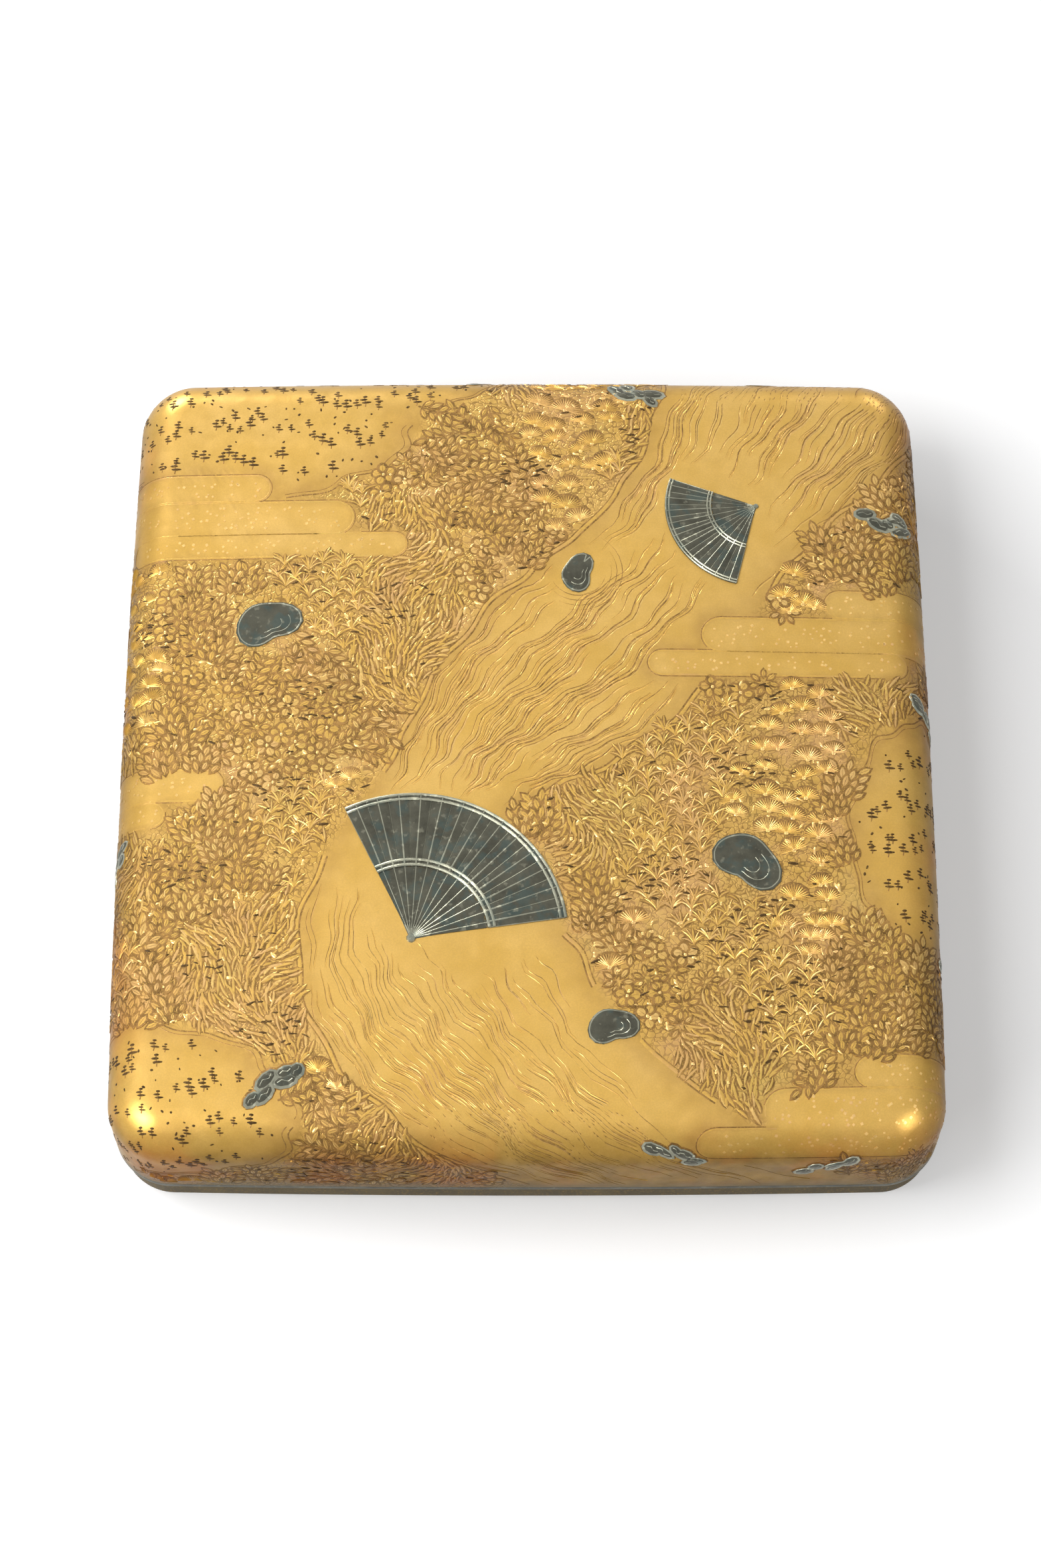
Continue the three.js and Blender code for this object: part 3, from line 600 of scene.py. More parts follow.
def aged_and_shaded(f, base, colours):
    """The colour darkened down the shoulder by worn gold and painted shade, brown in places and red
    in others, and turned a darker grey green close to the lower edge."""
    tint = f.mix(f.patch((38, 5, 0.6), 0.46, 0.60), colours.worn, colours.rubbed)
    # This darkening down the shoulder is worn gold and painted shade together.
    share = f.times(f.value("wear_and_shade"), f.patch((130, 4, 0.6), 0.3, 0.62, 0.72, 1))
    base = f.mix(share, base, tint, "MULTIPLY")
    # Darker grey green close to the lower edge.
    bloom = f.times(f.value("low_edge_green"), f.patch((90, 4), 0.3, 0.6, 0.5, 1))
    return f.mix(bloom, base, colours.low_edge_green)


def clouded(f, base, colours):
    """Slow drifts over the lid: rosy where the red undercoat is near, cold where the gold is greener."""
    rose = f.patch((42, 5, 0.62), 0.48, 0.62, 0, 0.50)
    cold = f.patch((36, 4, 0.6, f.place(turn=(0.6, 0.3, 1.1))), 0.52, 0.66, 0, 0.28)
    return f.mix(cold, f.mix(rose, base, colours.red_gold), colours.cold_gold)


def gold_ground(f, colours):
    """Polished gold of the lid: sprinkled powder under clear lacquer, shaded along the banks and hills,
    with fine cells between the leaves, and darker down the shoulder, where the gold is worn and has painted
    shade."""
    sheet = f.sheet()
    cloud = f.patch((14, 3), 0.35, 0.65)
    patch = f.patch((60, 5, 0.6), 0.35, 0.7)
    powder = f.noise(2600, 2)
    base = f.mix(cloud, shade(colours.gold, 0.94), shade(colours.gold, 1.03))
    base = f.mix(f.times(patch, 0.4), base, colours.pale_gold)
    base = f.mix(f.times(f.span(powder, 0.35, 0.6), 0.2), base, shade(colours.line_brown, 2.0))
    shadow = f.times(f.value("shade"), f.patch((200, 5, 0.6), 0.3, 0.65, 0.35, 0.85))
    base = f.mix(shadow, base, shade(colours.line_brown, 1.7))
    warped = f.add("ShaderNodeTexNoise", {"Vector": sheet, "Scale": 2.2, "Detail": 2.0})
    shift = f.add("ShaderNodeVectorMath", {0: warped.outputs[1], 1: (0.5, 0.5, 0.5)}, operation="MULTIPLY")
    bent = f.add("ShaderNodeVectorMath", {0: sheet, 1: shift.outputs[0]}, operation="ADD").outputs[0]
    cells = f.add("ShaderNodeTexVoronoi", {"Vector": bent, "Scale": 6.5}, feature="DISTANCE_TO_EDGE")
    veins = f.times(f.span(cells.outputs[0], 0.03, 0.13, 1, 0), f.value("dense"))
    grain = f.times(f.value("dense"), f.patch((700, 3), 0.4, 0.6, 0.05, 0.4))
    base = f.mix(grain, base, shade(colours.line_brown, 1.8))
    base = f.mix(f.times(veins, 0.8), base, colours.line_brown)
    base = f.mix(f.times(f.value("dense"), 0.9), base, clouded(f, base, colours))
    # Darker down the shoulder: worn gold and painted shade; darker grey green at the lower edge.
    base = aged_and_shaded(f, base, colours)
    rough = f.patch((240, 3), 0.3, 0.7, 0.30, 0.42)
    normal = f.bump(powder, 0.25, 0.00005)
    relief = f.math("SUBTRACT", f.noise(320, 4), f.times(veins, 1.2))
    normal = f.bump(relief, 0.35, 0.0002, normal)
    f.surface(Base_Color=base, Roughness=rough, Normal=normal, Metallic=0.3, Specular_IOR_Level=0.08)


def foot_gold(f, colours):
    """Gold of the foot, coloured a dark grey green brown, with powder left in specks."""
    cloud = f.patch((80, 5, 0.6), 0.35, 0.65)
    base = f.mix(cloud, shade(colours.low_edge_green, 0.7), shade(colours.low_edge_green, 1.2))
    base = f.mix(f.patch((1500, 2), 0.55, 0.7, 0, 0.5), base, shade(colours.gold, 0.5))
    normal = f.bump(f.noise(500, 4), 0.3, 0.0001)
    f.surface(Base_Color=base, Roughness=f.span(cloud, 0, 1, 0.5, 0.62), Normal=normal)
    f.surface(Metallic=0.15, Specular_IOR_Level=0.1)


def raised_gold(f, colours, tint, metallic=0.3):
    """Gold of raised leaves and bands, which varies from motif to motif and dulls in random patches."""
    tone = f.value("tone")
    base = f.mix(f.span(tone, 0, 0.5), shade(tint, 0.88), shade(tint, 1.04))
    base = f.mix(f.span(tone, 0.5, 0.8, 0, 0.75), base, colours.pale_gold)
    base = f.mix(f.span(tone, 0.88, 0.95, 0, 0.5), base, colours.red_gold)
    base = f.mix(f.patch((900, 3), 0.4, 0.7, 0, 0.5), base, shade(colours.line_brown, 1.9))
    base = clouded(f, base, colours)
    # Darker down the shoulder: worn gold and painted shade; darker grey green at the lower edge.
    base = aged_and_shaded(f, base, colours)
    normal = f.bump(f.noise(1800, 3), 0.3, 0.00008)
    f.surface(Base_Color=base, Roughness=f.patch((300,), 0.3, 0.7, 0.28, 0.42), Normal=normal)
    f.surface(Metallic=metallic, Specular_IOR_Level=0.1)


def line_lacquer(f, colours, tint, powder=0.7):
    """Brown of drawn lines and of the ground between raised leaves: worn, with gold powder in it."""
    worn = f.patch((420, 4, 0.6), 0.35, 0.62)
    base = f.mix(worn, shade(tint, 0.8), shade(tint, 1.6))
    base = f.mix(f.patch((2400, 2), 0.56, 0.7, 0, powder), base, colours.gold)
    # Darker down the shoulder: worn gold and painted shade; darker grey green at the lower edge.
    base = aged_and_shaded(f, base, colours)
    f.surface(Base_Color=base, Roughness=f.span(worn, 0, 1, 0.42, 0.55), Metallic=0.2, Specular_IOR_Level=0.1)


def old_silver(f, tint, blue, metal=0.75):
    """Tarnished silver: grey with brown clouds, fine pits, and a blue green film on some pieces."""
    cloud = f.patch((160, 6, 0.62), 0.3, 0.7)
    base = f.mix(cloud, shade(tint, 0.65), shade(tint, 1.5))
    film = f.patch((240, 3), 0.5, 0.62, 0, blue)
    base = f.mix(film, base, (0.035, 0.105, 0.115))
    base = f.mix(f.patch((520, 2), 0.6, 0.7, 0, 0.5), base, shade(tint, 3.0))
    normal = f.bump(f.noise(1500, 4), 0.3, 0.00008)
    f.surface(Base_Color=base, Roughness=f.span(cloud, 0, 1, 0.46, 0.32), Metallic=metal, Normal=normal)
    f.surface(Specular_IOR_Level=0.25)


def sprinkled_lacquer(f, colours):
    """Amber lacquer over gold flakes, which lie at several depths and catch the light one by one."""
    cell = f.add("ShaderNodeTexVoronoi", {"Vector": f.spot, "Scale": 1700.0})
    bright = f.add("ShaderNodeSeparateColor", {0: cell.outputs["Color"]})
    near = f.span(cell.outputs["Distance"], 0.32, 0.46, 1, 0)
    flake = f.times(f.span(bright.outputs[0], 0.45, 0.85), near)
    cloud = f.patch((30, 3), 0.3, 0.7)
    ground = f.mix(cloud, shade(colours.amber, 0.75), shade(colours.amber, 1.25))
    base = f.mix(flake, ground, shade(colours.gold, 1.05))
    f.surface(Base_Color=base, Roughness=f.span(flake, 0, 1, 0.34, 0.24))
    f.surface(Metallic=f.times(flake, 0.6), Specular_IOR_Level=0.25)
    f.surface(Coat_Weight=0.22, Coat_Roughness=0.08)
    f.surface(Normal=f.bump(f.noise(40, 2), 0.06, 0.0004))


def dark_lacquer(f, colours):
    """Brown black lacquer over bamboo: long faint fibres under a deep gloss, red where it is thin."""
    fibres = f.noise(1, 4, vector=f.place((900, 40, 900)))
    base = f.mix(f.span(fibres, 0.4, 0.7), colours.lacquer, shade(colours.lacquer, 2.4))
    base = f.mix(f.patch((90, 4), 0.55, 0.75, 0, 0.6), base, (0.12, 0.028, 0.010))
    f.surface(Base_Color=base, Roughness=f.patch((400,), 0.3, 0.7, 0.20, 0.32), Coat_Weight=0.2)
    f.surface(Coat_Roughness=0.1, Specular_IOR_Level=0.3, Normal=f.bump(fibres, 0.05, 0.0002))


def slate(f, colours):
    """Honed slate: blue black, with pale mineral clouds, small bright grains, a fine tooth, and dried
    ink in the well."""
    layers = f.noise(1, 5, 0.6, vector=f.place((30, 60, 260)))
    base = f.mix(f.span(layers, 0.35, 0.7), colours.slate, shade(colours.slate, 1.9))
    base = f.mix(f.patch((180, 6, 0.7), 0.55, 0.75, 0, 0.5), base, (0.085, 0.075, 0.078))
    base = f.mix(f.patch((3200, 1), 0.70, 0.76), base, (0.22, 0.21, 0.19))
    ink = f.times(f.value("ink"), f.patch((110, 5), 0.3, 0.55, 0.4, 1))
    base = f.mix(ink, base, (0.006, 0.006, 0.007))
    normal = f.bump(f.noise(1400, 5), 0.25, 0.00012)
    rough = f.mix(ink, f.mix(f.patch((60,), 0.3, 0.7), (0.42,) * 3, (0.6,) * 3), (0.22,) * 3)
    f.surface(Base_Color=base, Roughness=rough, Normal=normal, Specular_IOR_Level=0.3)


def dull_copper(f, colours):
    """Patinated copper alloy: brown, darker in clouds, rubbed bright in specks, with a satin grain."""
    cloud = f.patch((120, 6, 0.6), 0.3, 0.7)
    base = f.mix(cloud, shade(colours.copper, 0.6), shade(colours.copper, 1.3))
    base = f.mix(f.patch((700, 3), 0.6, 0.72, 0, 0.5), base, (0.55, 0.36, 0.18))
    normal = f.bump(f.noise(1, 2, vector=f.place((3000, 300, 3000))), 0.2, 0.00005)
    f.surface(Base_Color=base, Roughness=f.span(cloud, 0, 1, 0.42, 0.27), Metallic=0.9, Normal=normal)


def ink_cake(f, colours):
    """Pressed soot: matt black with a faint brown bloom and mould marks."""
    bloom = f.patch((90, 6, 0.65), 0.4, 0.75)
    base = f.mix(bloom, (0.010, 0.010, 0.012), (0.036, 0.030, 0.028))
    normal = f.bump(f.noise(900, 5), 0.35, 0.0001)
    f.surface(Base_Color=base, Roughness=f.span(bloom, 0, 1, 0.36, 0.62), Normal=normal)


def blade_steel(f, colours):
    """Ground steel: fine scratches along the blade, darker patches of age."""
    lines = f.noise(1, 2, vector=f.place((5000, 60, 5000)))
    base = f.mix(f.patch((150, 5), 0.45, 0.7, 0, 0.6), colours.steel, shade(colours.steel, 0.55))
    rough = f.span(lines, 0.35, 0.65, 0.22, 0.38)
    f.surface(Base_Color=base, Roughness=rough, Metallic=0.95, Normal=f.bump(lines, 0.15, 0.00004))


def goat_hair(f, colours):
    """Hair in strands along the tuft, cream at the root and tinged grey with old ink at the tip."""
    strands = f.noise(1, 3, vector=f.place((4200, 120, 4200)))
    base = f.mix(f.span(strands, 0.3, 0.7), shade(colours.hair, 0.62), shade(colours.hair, 1.2))
    base = f.mix(f.times(f.value("tip"), 0.85), base, (0.035, 0.032, 0.032))
    f.surface(Base_Color=base, Roughness=0.7, Normal=f.bump(strands, 0.6, 0.0003))
    f.surface(Sheen_Weight=0.2, Sheen_Roughness=0.4)


MAKERS = {
    "gold_ground": ("Gold ground", gold_ground),
    "foot": ("Foot gold", foot_gold),
    "leaf_gold": ("Leaf gold", lambda f, c: raised_gold(f, c, c.gold)),
    "bright_gold": ("Bright gold", lambda f, c: raised_gold(f, c, c.pale_gold, 0.55)),
    "line": ("Line lacquer", lambda f, c: line_lacquer(f, c, c.line_brown)),
    "deep_line": ("Deep line lacquer", lambda f, c: line_lacquer(f, c, shade(c.line_brown, 0.27), 0.25)),
    "silver": ("Inlay silver", lambda f, c: old_silver(f, c.silver, 0.26)),
    "stone_silver": ("Stone silver", lambda f, c: old_silver(f, shade(c.silver, 0.9), 0.12)),
    "silver_edge": ("Pale silver", lambda f, c: old_silver(f, c.pale_silver, 0.2)),
    "rim": ("Rim silver", lambda f, c: old_silver(f, c.rim_silver, 0.1, 0.5)),
    "sprinkled": ("Sprinkled lacquer", sprinkled_lacquer),
    "lacquer": ("Dark lacquer", dark_lacquer),
    "slate": ("Ink stone slate", slate),
    "copper": ("Dull copper", dull_copper),
    "ink": ("Ink cake", ink_cake),
    "steel": ("Blade steel", blade_steel),
    "hair": ("Goat hair", goat_hair),
}
made = {}


def material(key):
    """The material of that key, made the first time it is asked for."""
    if key not in made:
        name, maker = MAKERS[key]
        look = Finish(name)
        maker(look, bpy.context.scene.writing_box.colours)
        made[key] = look.material
    return made[key]


# Relief on the lid


class Relief:
    """Collects the closed strips and cushions of one finish, and puts them down as a few meshes. A batch
    is K equal shapes: points (K, P, 3), the faces of one shape, and a tone for each."""

    def __init__(self, form):
        self.form = form
        self.batches = []

    def strips(self, paths, widths, height, base=0.0, tone=0.5):
        """Closed three-sided strips along paths (K, N, 2) on the sheet: at each point the two edges lie
        half a width to either side of the path at the base height, and the crest stands over it."""
        paths = np.asarray(paths, float)
        if not len(paths):
            return
        count, steps = paths.shape[:2]
        widths, height, base = (spread(value, count, steps) for value in (widths, height, base))
        run = np.gradient(paths, axis=1)
        run /= np.maximum(np.linalg.norm(run, axis=-1, keepdims=True), 1e-9)
        side = pair(-run[..., 1], run[..., 0]) * widths[..., None] / 2
        left, right = paths + side, paths - side
        low = base + ROOT
        rings = np.stack(
            [
                self.form.lifted(left[..., 0], left[..., 1], low),
                self.form.lifted(paths[..., 0], paths[..., 1], base + height),
                self.form.lifted(right[..., 0], right[..., 1], low),
            ],
            2,
        )
        quads = grid_faces(steps, 3)
        ends = np.array([[0, 2, 1], [steps * 3 - 3, steps * 3 - 2, steps * 3 - 1]])
        self.batches.append((rings.reshape(count, -1, 3), [quads, ends], spread(tone, count)))

    def cushions(self, centre, angle, size, outline, low, high, brim=0.74, tone=0.5):
        """Low closed cushions (K): an outline of M points round the centre, scaled by size (K, 2) and
        turned by angle, at the low height; the same outline at brim times its size, higher; the centre
        on top."""
        centre = np.asarray(centre, float)
        if not len(centre):
            return
        count, around = len(centre), len(outline)
        size = spread(size, count, 2)
        angle, low, high = (spread(value, count) for value in (angle, low, high))
        c, s = np.cos(angle)[:, None], np.sin(angle)[:, None]
        x = outline[None, :, 0] * size[:, :1]
        y = outline[None, :, 1] * size[:, 1:]
        du, dv = c * x - s * y, s * x + c * y
        u, v = centre[:, :1], centre[:, 1:]
        crown = high[:, None] * (1.0 if brim > 0.9 else 0.8)
        foot = self.form.lifted(u + du, v + dv, np.broadcast_to(low[:, None], du.shape))
        rim = self.form.lifted(u + du * brim, v + dv * brim, np.broadcast_to(crown, du.shape))
        top = self.form.lifted(u, v, high[:, None])
        under = self.form.lifted(u, v, low[:, None] - 0.01)
        points = join(foot, rim, top, under, axis=1)
        ring, last = np.arange(around), 2 * around
        quads = grid_faces(2, around)
        fans = join(fan(around + ring, last), fan(ring, last + 1, under=True))
        self.batches.append((points, [quads, fans], spread(tone, count)))

    def lay(self, name, finish_key, slot):
        """Joins the batches, in pieces that each stay under the count of triangles for one piece."""
        pieces, load = [[]], 0
        for points, faces, tone in self.batches:
            each = sum(len(f) * (np.shape(f)[1] - 2) for f in faces)
            start = 0
            while start < len(points):
                room = int((TRIANGLES_PER_PIECE - load) // each)
                if room <= 0:
                    pieces.append([])
                    load = 0
                    continue
                stop = min(len(points), start + room)
                pieces[-1].append((points[start:stop], faces, tone[start:stop]))
                load += (stop - start) * each
                start = stop
        for number, batches in enumerate(pieces):
            if not batches:
                continue
            points, quads, tris, tones, offset = [], [], [], [], 0
            for some, faces, tone in batches:
                count, each = some.shape[:2]
                shift = offset + np.arange(count)[:, None, None] * each
                for rows in faces:
                    rows = (np.asarray(rows)[None] + shift).reshape(-1, np.shape(rows)[1])
                    (quads if rows.shape[1] == 4 else tris).append(rows)
                points.append(some.reshape(-1, 3))
                tones.append(np.repeat(tone, each))
                offset += count * each
            points = np.concatenate(points)
            faces = [np.concatenate(rows) for rows in (quads, tris) if rows]
            # Shares of darkening: worn gold with painted shade down the shoulder, grey green at the lower
            # edge.
            values = {"tone": np.concatenate(tones), **ageing_and_shade(self.form, points)}
            piece = put_mesh(f"{name}_{number + 1}", points, faces, sharp=50, values=values)
            finish(piece, finish_key, "lid", slot)


def smooth_path(points, count):
    """A curve through the points: between two of them it is the cubic whose slope at each point is half
    the step between that point's neighbours."""
    points = np.asarray(points, float)
    padded = join(2 * points[:1] - points[1:2], points, 2 * points[-1:] - points[-2:-1])
    t = np.linspace(0, len(points) - 1 - 1e-9, count)
    i = t.astype(int)
    t = (t - i)[:, None]
    a, b, c, d = padded[i], padded[i + 1], padded[i + 2], padded[i + 3]
    return 0.5 * (
        2 * b + (c - a) * t + (2 * a - 5 * b + 4 * c - d) * t**2 + (3 * b - a - 3 * c + d) * t**3
    )


def circle(count):
    angle = np.arange(count) / count * 2 * math.pi
    return pair(np.cos(angle), np.sin(angle))


def leaf_outline(count):
    """A pointed leaf: half widths sin(pi t)^0.75 / 2 along a length from -1/2 to 1/2."""
    t = (np.arange(count // 2 + 1)) / (count // 2)
    half = 0.5 * np.sin(math.pi * t) ** 0.75
    upper = pair(0.5 - t, half)
    lower = pair(t[1:-1] - 0.5, -half[1:-1])
    return join(upper, lower)


LEAF = leaf_outline(8)
ROUND = circle(9) * 0.5
SQUARE = np.array([[0.5, 0.5], [-0.5, 0.5], [-0.5, -0.5], [0.5, -0.5]])


# Folding fans: name, pivot in the plan, turn and sweep in degrees, share of the full size.
FANS = (("large", -29.975, -57.96, 62.0, 108.0, 1.0), ("small", 63.002, 70.035, 208.0, 96.0, 0.61))
FAN_RIVET, FAN_LEAF_START, FAN_LEAF_END = 4.0, 20.0, 41.0
STONES = ("stone_inlay_1", "stone_inlay_2", "stone_inlay_3", "stone_inlay_4")


class Design:
    """The lid's design: a stream that winds from back to front, hills, bands of mist, and banks of
    leaves, pines and blossoms. Everything is placed on the sheet, in millimetres."""

    centre_points = [(96, 150), (66, 92), (30, 38), (-14, -6), (-30, -48), (-4, -92), (58, -150)]
    hills = np.array([[-76, 97, 46, 25], [-38, 116, 30, 18], [106, -28, 22, 34], [-100, -106, 42, 25]], float)
    mists = np.array(
        [
            [-134, 66, -52, 66, 5.5], [-134, 75.5, -74, 75.5, 4.5], [-106, 57.5, -36, 57.5, 4.0],
            [52, 30, 134, 30, 5.5], [84, 39.5, 134, 39.5, 4.5], [36, 21.5, 98, 21.5, 4.0],
            [-134, -14, -84, -14, 5.0], [-134, -22.5, -98, -22.5, 4.0],
            [66, -104, 134, -104, 6.0], [88, -94, 134, -94, 4.6], [48, -113, 134, -113, 5.0],
            [-44, 128, 26, 128, 5.0], [-14, 119.5, 46, 119.5, 4.0],
        ],
        float,
    )
    sorts = 6

    def __init__(self, form, seed):
        self.form = form
        self.random = np.random.default_rng(seed)
        self.centre = smooth_path(self.centre_points, STREAM_STEPS)
        run = np.gradient(self.centre, axis=0)
        run = run / np.linalg.norm(run, axis=1, keepdims=True)
        self.side = pair(-run[:, 1], run[:, 0])
        t = np.linspace(0, 1, STREAM_STEPS)
        self.half = 27 + 6 * np.sin(2 * math.pi * t * 1.3 + 0.6) + 5 * np.sin(2 * math.pi * t * 3.1)
        turn = self.random.uniform(0, 2 * math.pi, (2, self.sorts))
        self.waves = pair(np.cos(turn), np.sin(turn)) * np.array([0.070, 0.105])[:, None, None]
        self.phases = self.random.uniform(0, 2 * math.pi, (2, self.sorts))
        self.spots = self.inlays()

    def stream(self, p):
        """Distance to the stream's bank, negative in the water."""
        gap = np.linalg.norm(p[:, None] - self.centre[None, ::4], axis=-1)
        near = np.argmin(gap, axis=1)
        return gap[np.arange(len(p)), near] - self.half[::4][near]

    def hill(self, p, hills=None):
        """Place in the nearest hill, as a share of its radius: above 1 is outside."""
        hills = self.hills if hills is None else hills
        share = (p[:, None] - hills[None, :, :2]) / hills[None, :, 2:]
        return np.linalg.norm(share, axis=-1).min(1)

    def mist(self, p):
        """Distance to the edge of the nearest band of mist, negative inside."""
        a, b, r = self.mists[:, :2], self.mists[:, 2:4], self.mists[:, 4]
        along = b - a
        t = ((p[:, None] - a) * along).sum(-1) / (along**2).sum(-1)
        nearest = a + np.clip(t, 0, 1)[..., None] * along
        return (np.linalg.norm(p[:, None] - nearest, axis=-1) - r).min(1)

    def sort(self, p):
        """Which planting grows at a place: the one whose sum of two slow waves is highest there."""
        waves = np.sin(np.einsum("pk,wsk->pws", p, self.waves) + self.phases)
        return (waves[:, 0] + 0.7 * waves[:, 1]).argmax(1)

    def tones(self, p):
        """How densely worked and how shaded the ground is. The shade is strongest just inside the
        water, inside a hill's outline and outside the mist, and fades as exp(-(distance / reach)^2)."""
        bank, hill, mist = self.stream(p), self.hill(p), self.mist(p)
        land = np.clip(bank / 3, 0, 1) * np.clip(mist / 1.5, 0, 1) * np.clip((hill - 1) * 12, 0, 1)
        water = np.exp(-((bank / np.where(bank < 0, 5.0, 1.5)) ** 2))
        slope = np.exp(-(((1 - hill) / 0.2) ** 2)) * (hill < 1.02)
        haze = np.exp(-((mist / np.where(mist > 0, 3.0, 0.8)) ** 2))
        shade = np.maximum.reduce([0.5 * water * (mist > 0), 0.7 * slope * (mist > 0), 0.6 * haze])
        return {"dense": land, "shade": shade}

    def inlays(self):
        """Middle and radius of the discs that the silver inlays cover."""
        found = []
        for node in STONES:
            low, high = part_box(node)
            middle, size = (low + high) / 2 / MM, (high - low) / 2 / MM
            found.append([middle.x, middle.y, max(size.x, size.y) * 0.96])
        for _, x, y, turn, sweep, share in FANS:
            for part in np.linspace(-0.42, 0.42, 5):
                heading = math.radians(turn + sweep * part)
                for radius, reach in ((30.5, 11.5), (12.0, 8.0)):
                    place = [x + share * radius * math.cos(heading), y + share * radius * math.sin(heading)]
                    found.append([*place, reach * share])
        return np.array(found)

    def clear(self, p, margin=1.0):
        """True where a point is clear of every inlay."""
        gap = np.linalg.norm(p[:, None] - self.spots[None, :, :2], axis=-1) - self.spots[None, :, 2]
        return gap.min(1) > margin

    def on_lid(self, p, margin=1.6):
        return self.form.distance(p[:, 0], p[:, 1])[0] < self.form.reach - margin

    def free(self, p, margin=1.0):
        return self.on_lid(p, margin + 1) & self.clear(p, margin)

    def scatter(self, pitch, jitter=0.35):
        """Points of a hexagonal net over the whole sheet, each moved a little at random."""
        wide, deep = self.form.half + self.form.reach
        rows = np.arange(-deep, deep, pitch * HEXAGON_ROW)
        columns = np.arange(-wide, wide, pitch)
        u, v = np.meshgrid(columns, rows)
        u = u + (np.arange(len(rows)) % 2)[:, None] * pitch / 2
        p = pair(u.ravel(), v.ravel())
        p += self.random.uniform(-jitter, jitter, p.shape) * pitch
        return p[self.on_lid(p)]

    def plots(self, sort, pitch, jitter=0.35, edge=2.0):
        """Scattered places on the land where that sort grows."""
        p = self.scatter(pitch, jitter)
        land = self.ground(p, edge * 0.7, edge, 1.03) & self.clear(p, edge)
        return p[land & (self.sort(p) == sort)]

    def between(self, count, low, high):
        return self.random.uniform(low, high, count)

    def draw(self, p, low, high):
        """A random number for each point."""
        return self.between(len(p), low, high)

    def pick(self, p, share):
        """True for that share of the points, at random."""
        return self.draw(p, 0, 1) < share

    def planted(self, p, turns, scales):
        """Places with random turns and scales, each between its two limits."""
        return placed(p, self.draw(p, *turns), self.draw(p, *scales))

    def sizes(self, count, long, wide):
        """Random lengths and widths, each between its two limits."""
        return pair(self.between(count, *long), self.between(count, *wide))

    def ground(self, p, mist, stream, hill=1.05):
        """True on the land, at least that far from the mist, the stream and the hills."""
        return (self.mist(p) > mist) & (self.stream(p) > stream) & (self.hill(p) > hill)


def placed(p, angle, scale):
    """Rows of place, angle and scale."""
    return join(p, spread(angle, len(p))[:, None], spread(scale, len(p))[:, None], axis=1)


def many(instances, template):
    """Places every point of a template (T, 2) at every instance (K: u, v, angle, scale): (K, T, 2)."""
    c, s = np.cos(instances[:, 2])[:, None], np.sin(instances[:, 2])[:, None]
    scale = instances[:, 3][:, None]
    x, y = template[None, :, 0] * scale, template[None, :, 1] * scale
    return pair(instances[:, :1] + c * x - s * y, instances[:, 1:2] + s * x + c * y)


def lengths(path, steps=LENGTH_STEPS):
    """A path (N, 2) cut into lengths of that many steps, each starting where the one before it ends."""
    count = (len(path) - 1) // steps
    return path[np.arange(count)[:, None] * steps + np.arange(steps + 1)]


def whole(paths, test):
    """True for each path (K, N, 2) whose every point passes the test."""
    return test(paths.reshape(-1, 2)).reshape(paths.shape[:2]).all(1)


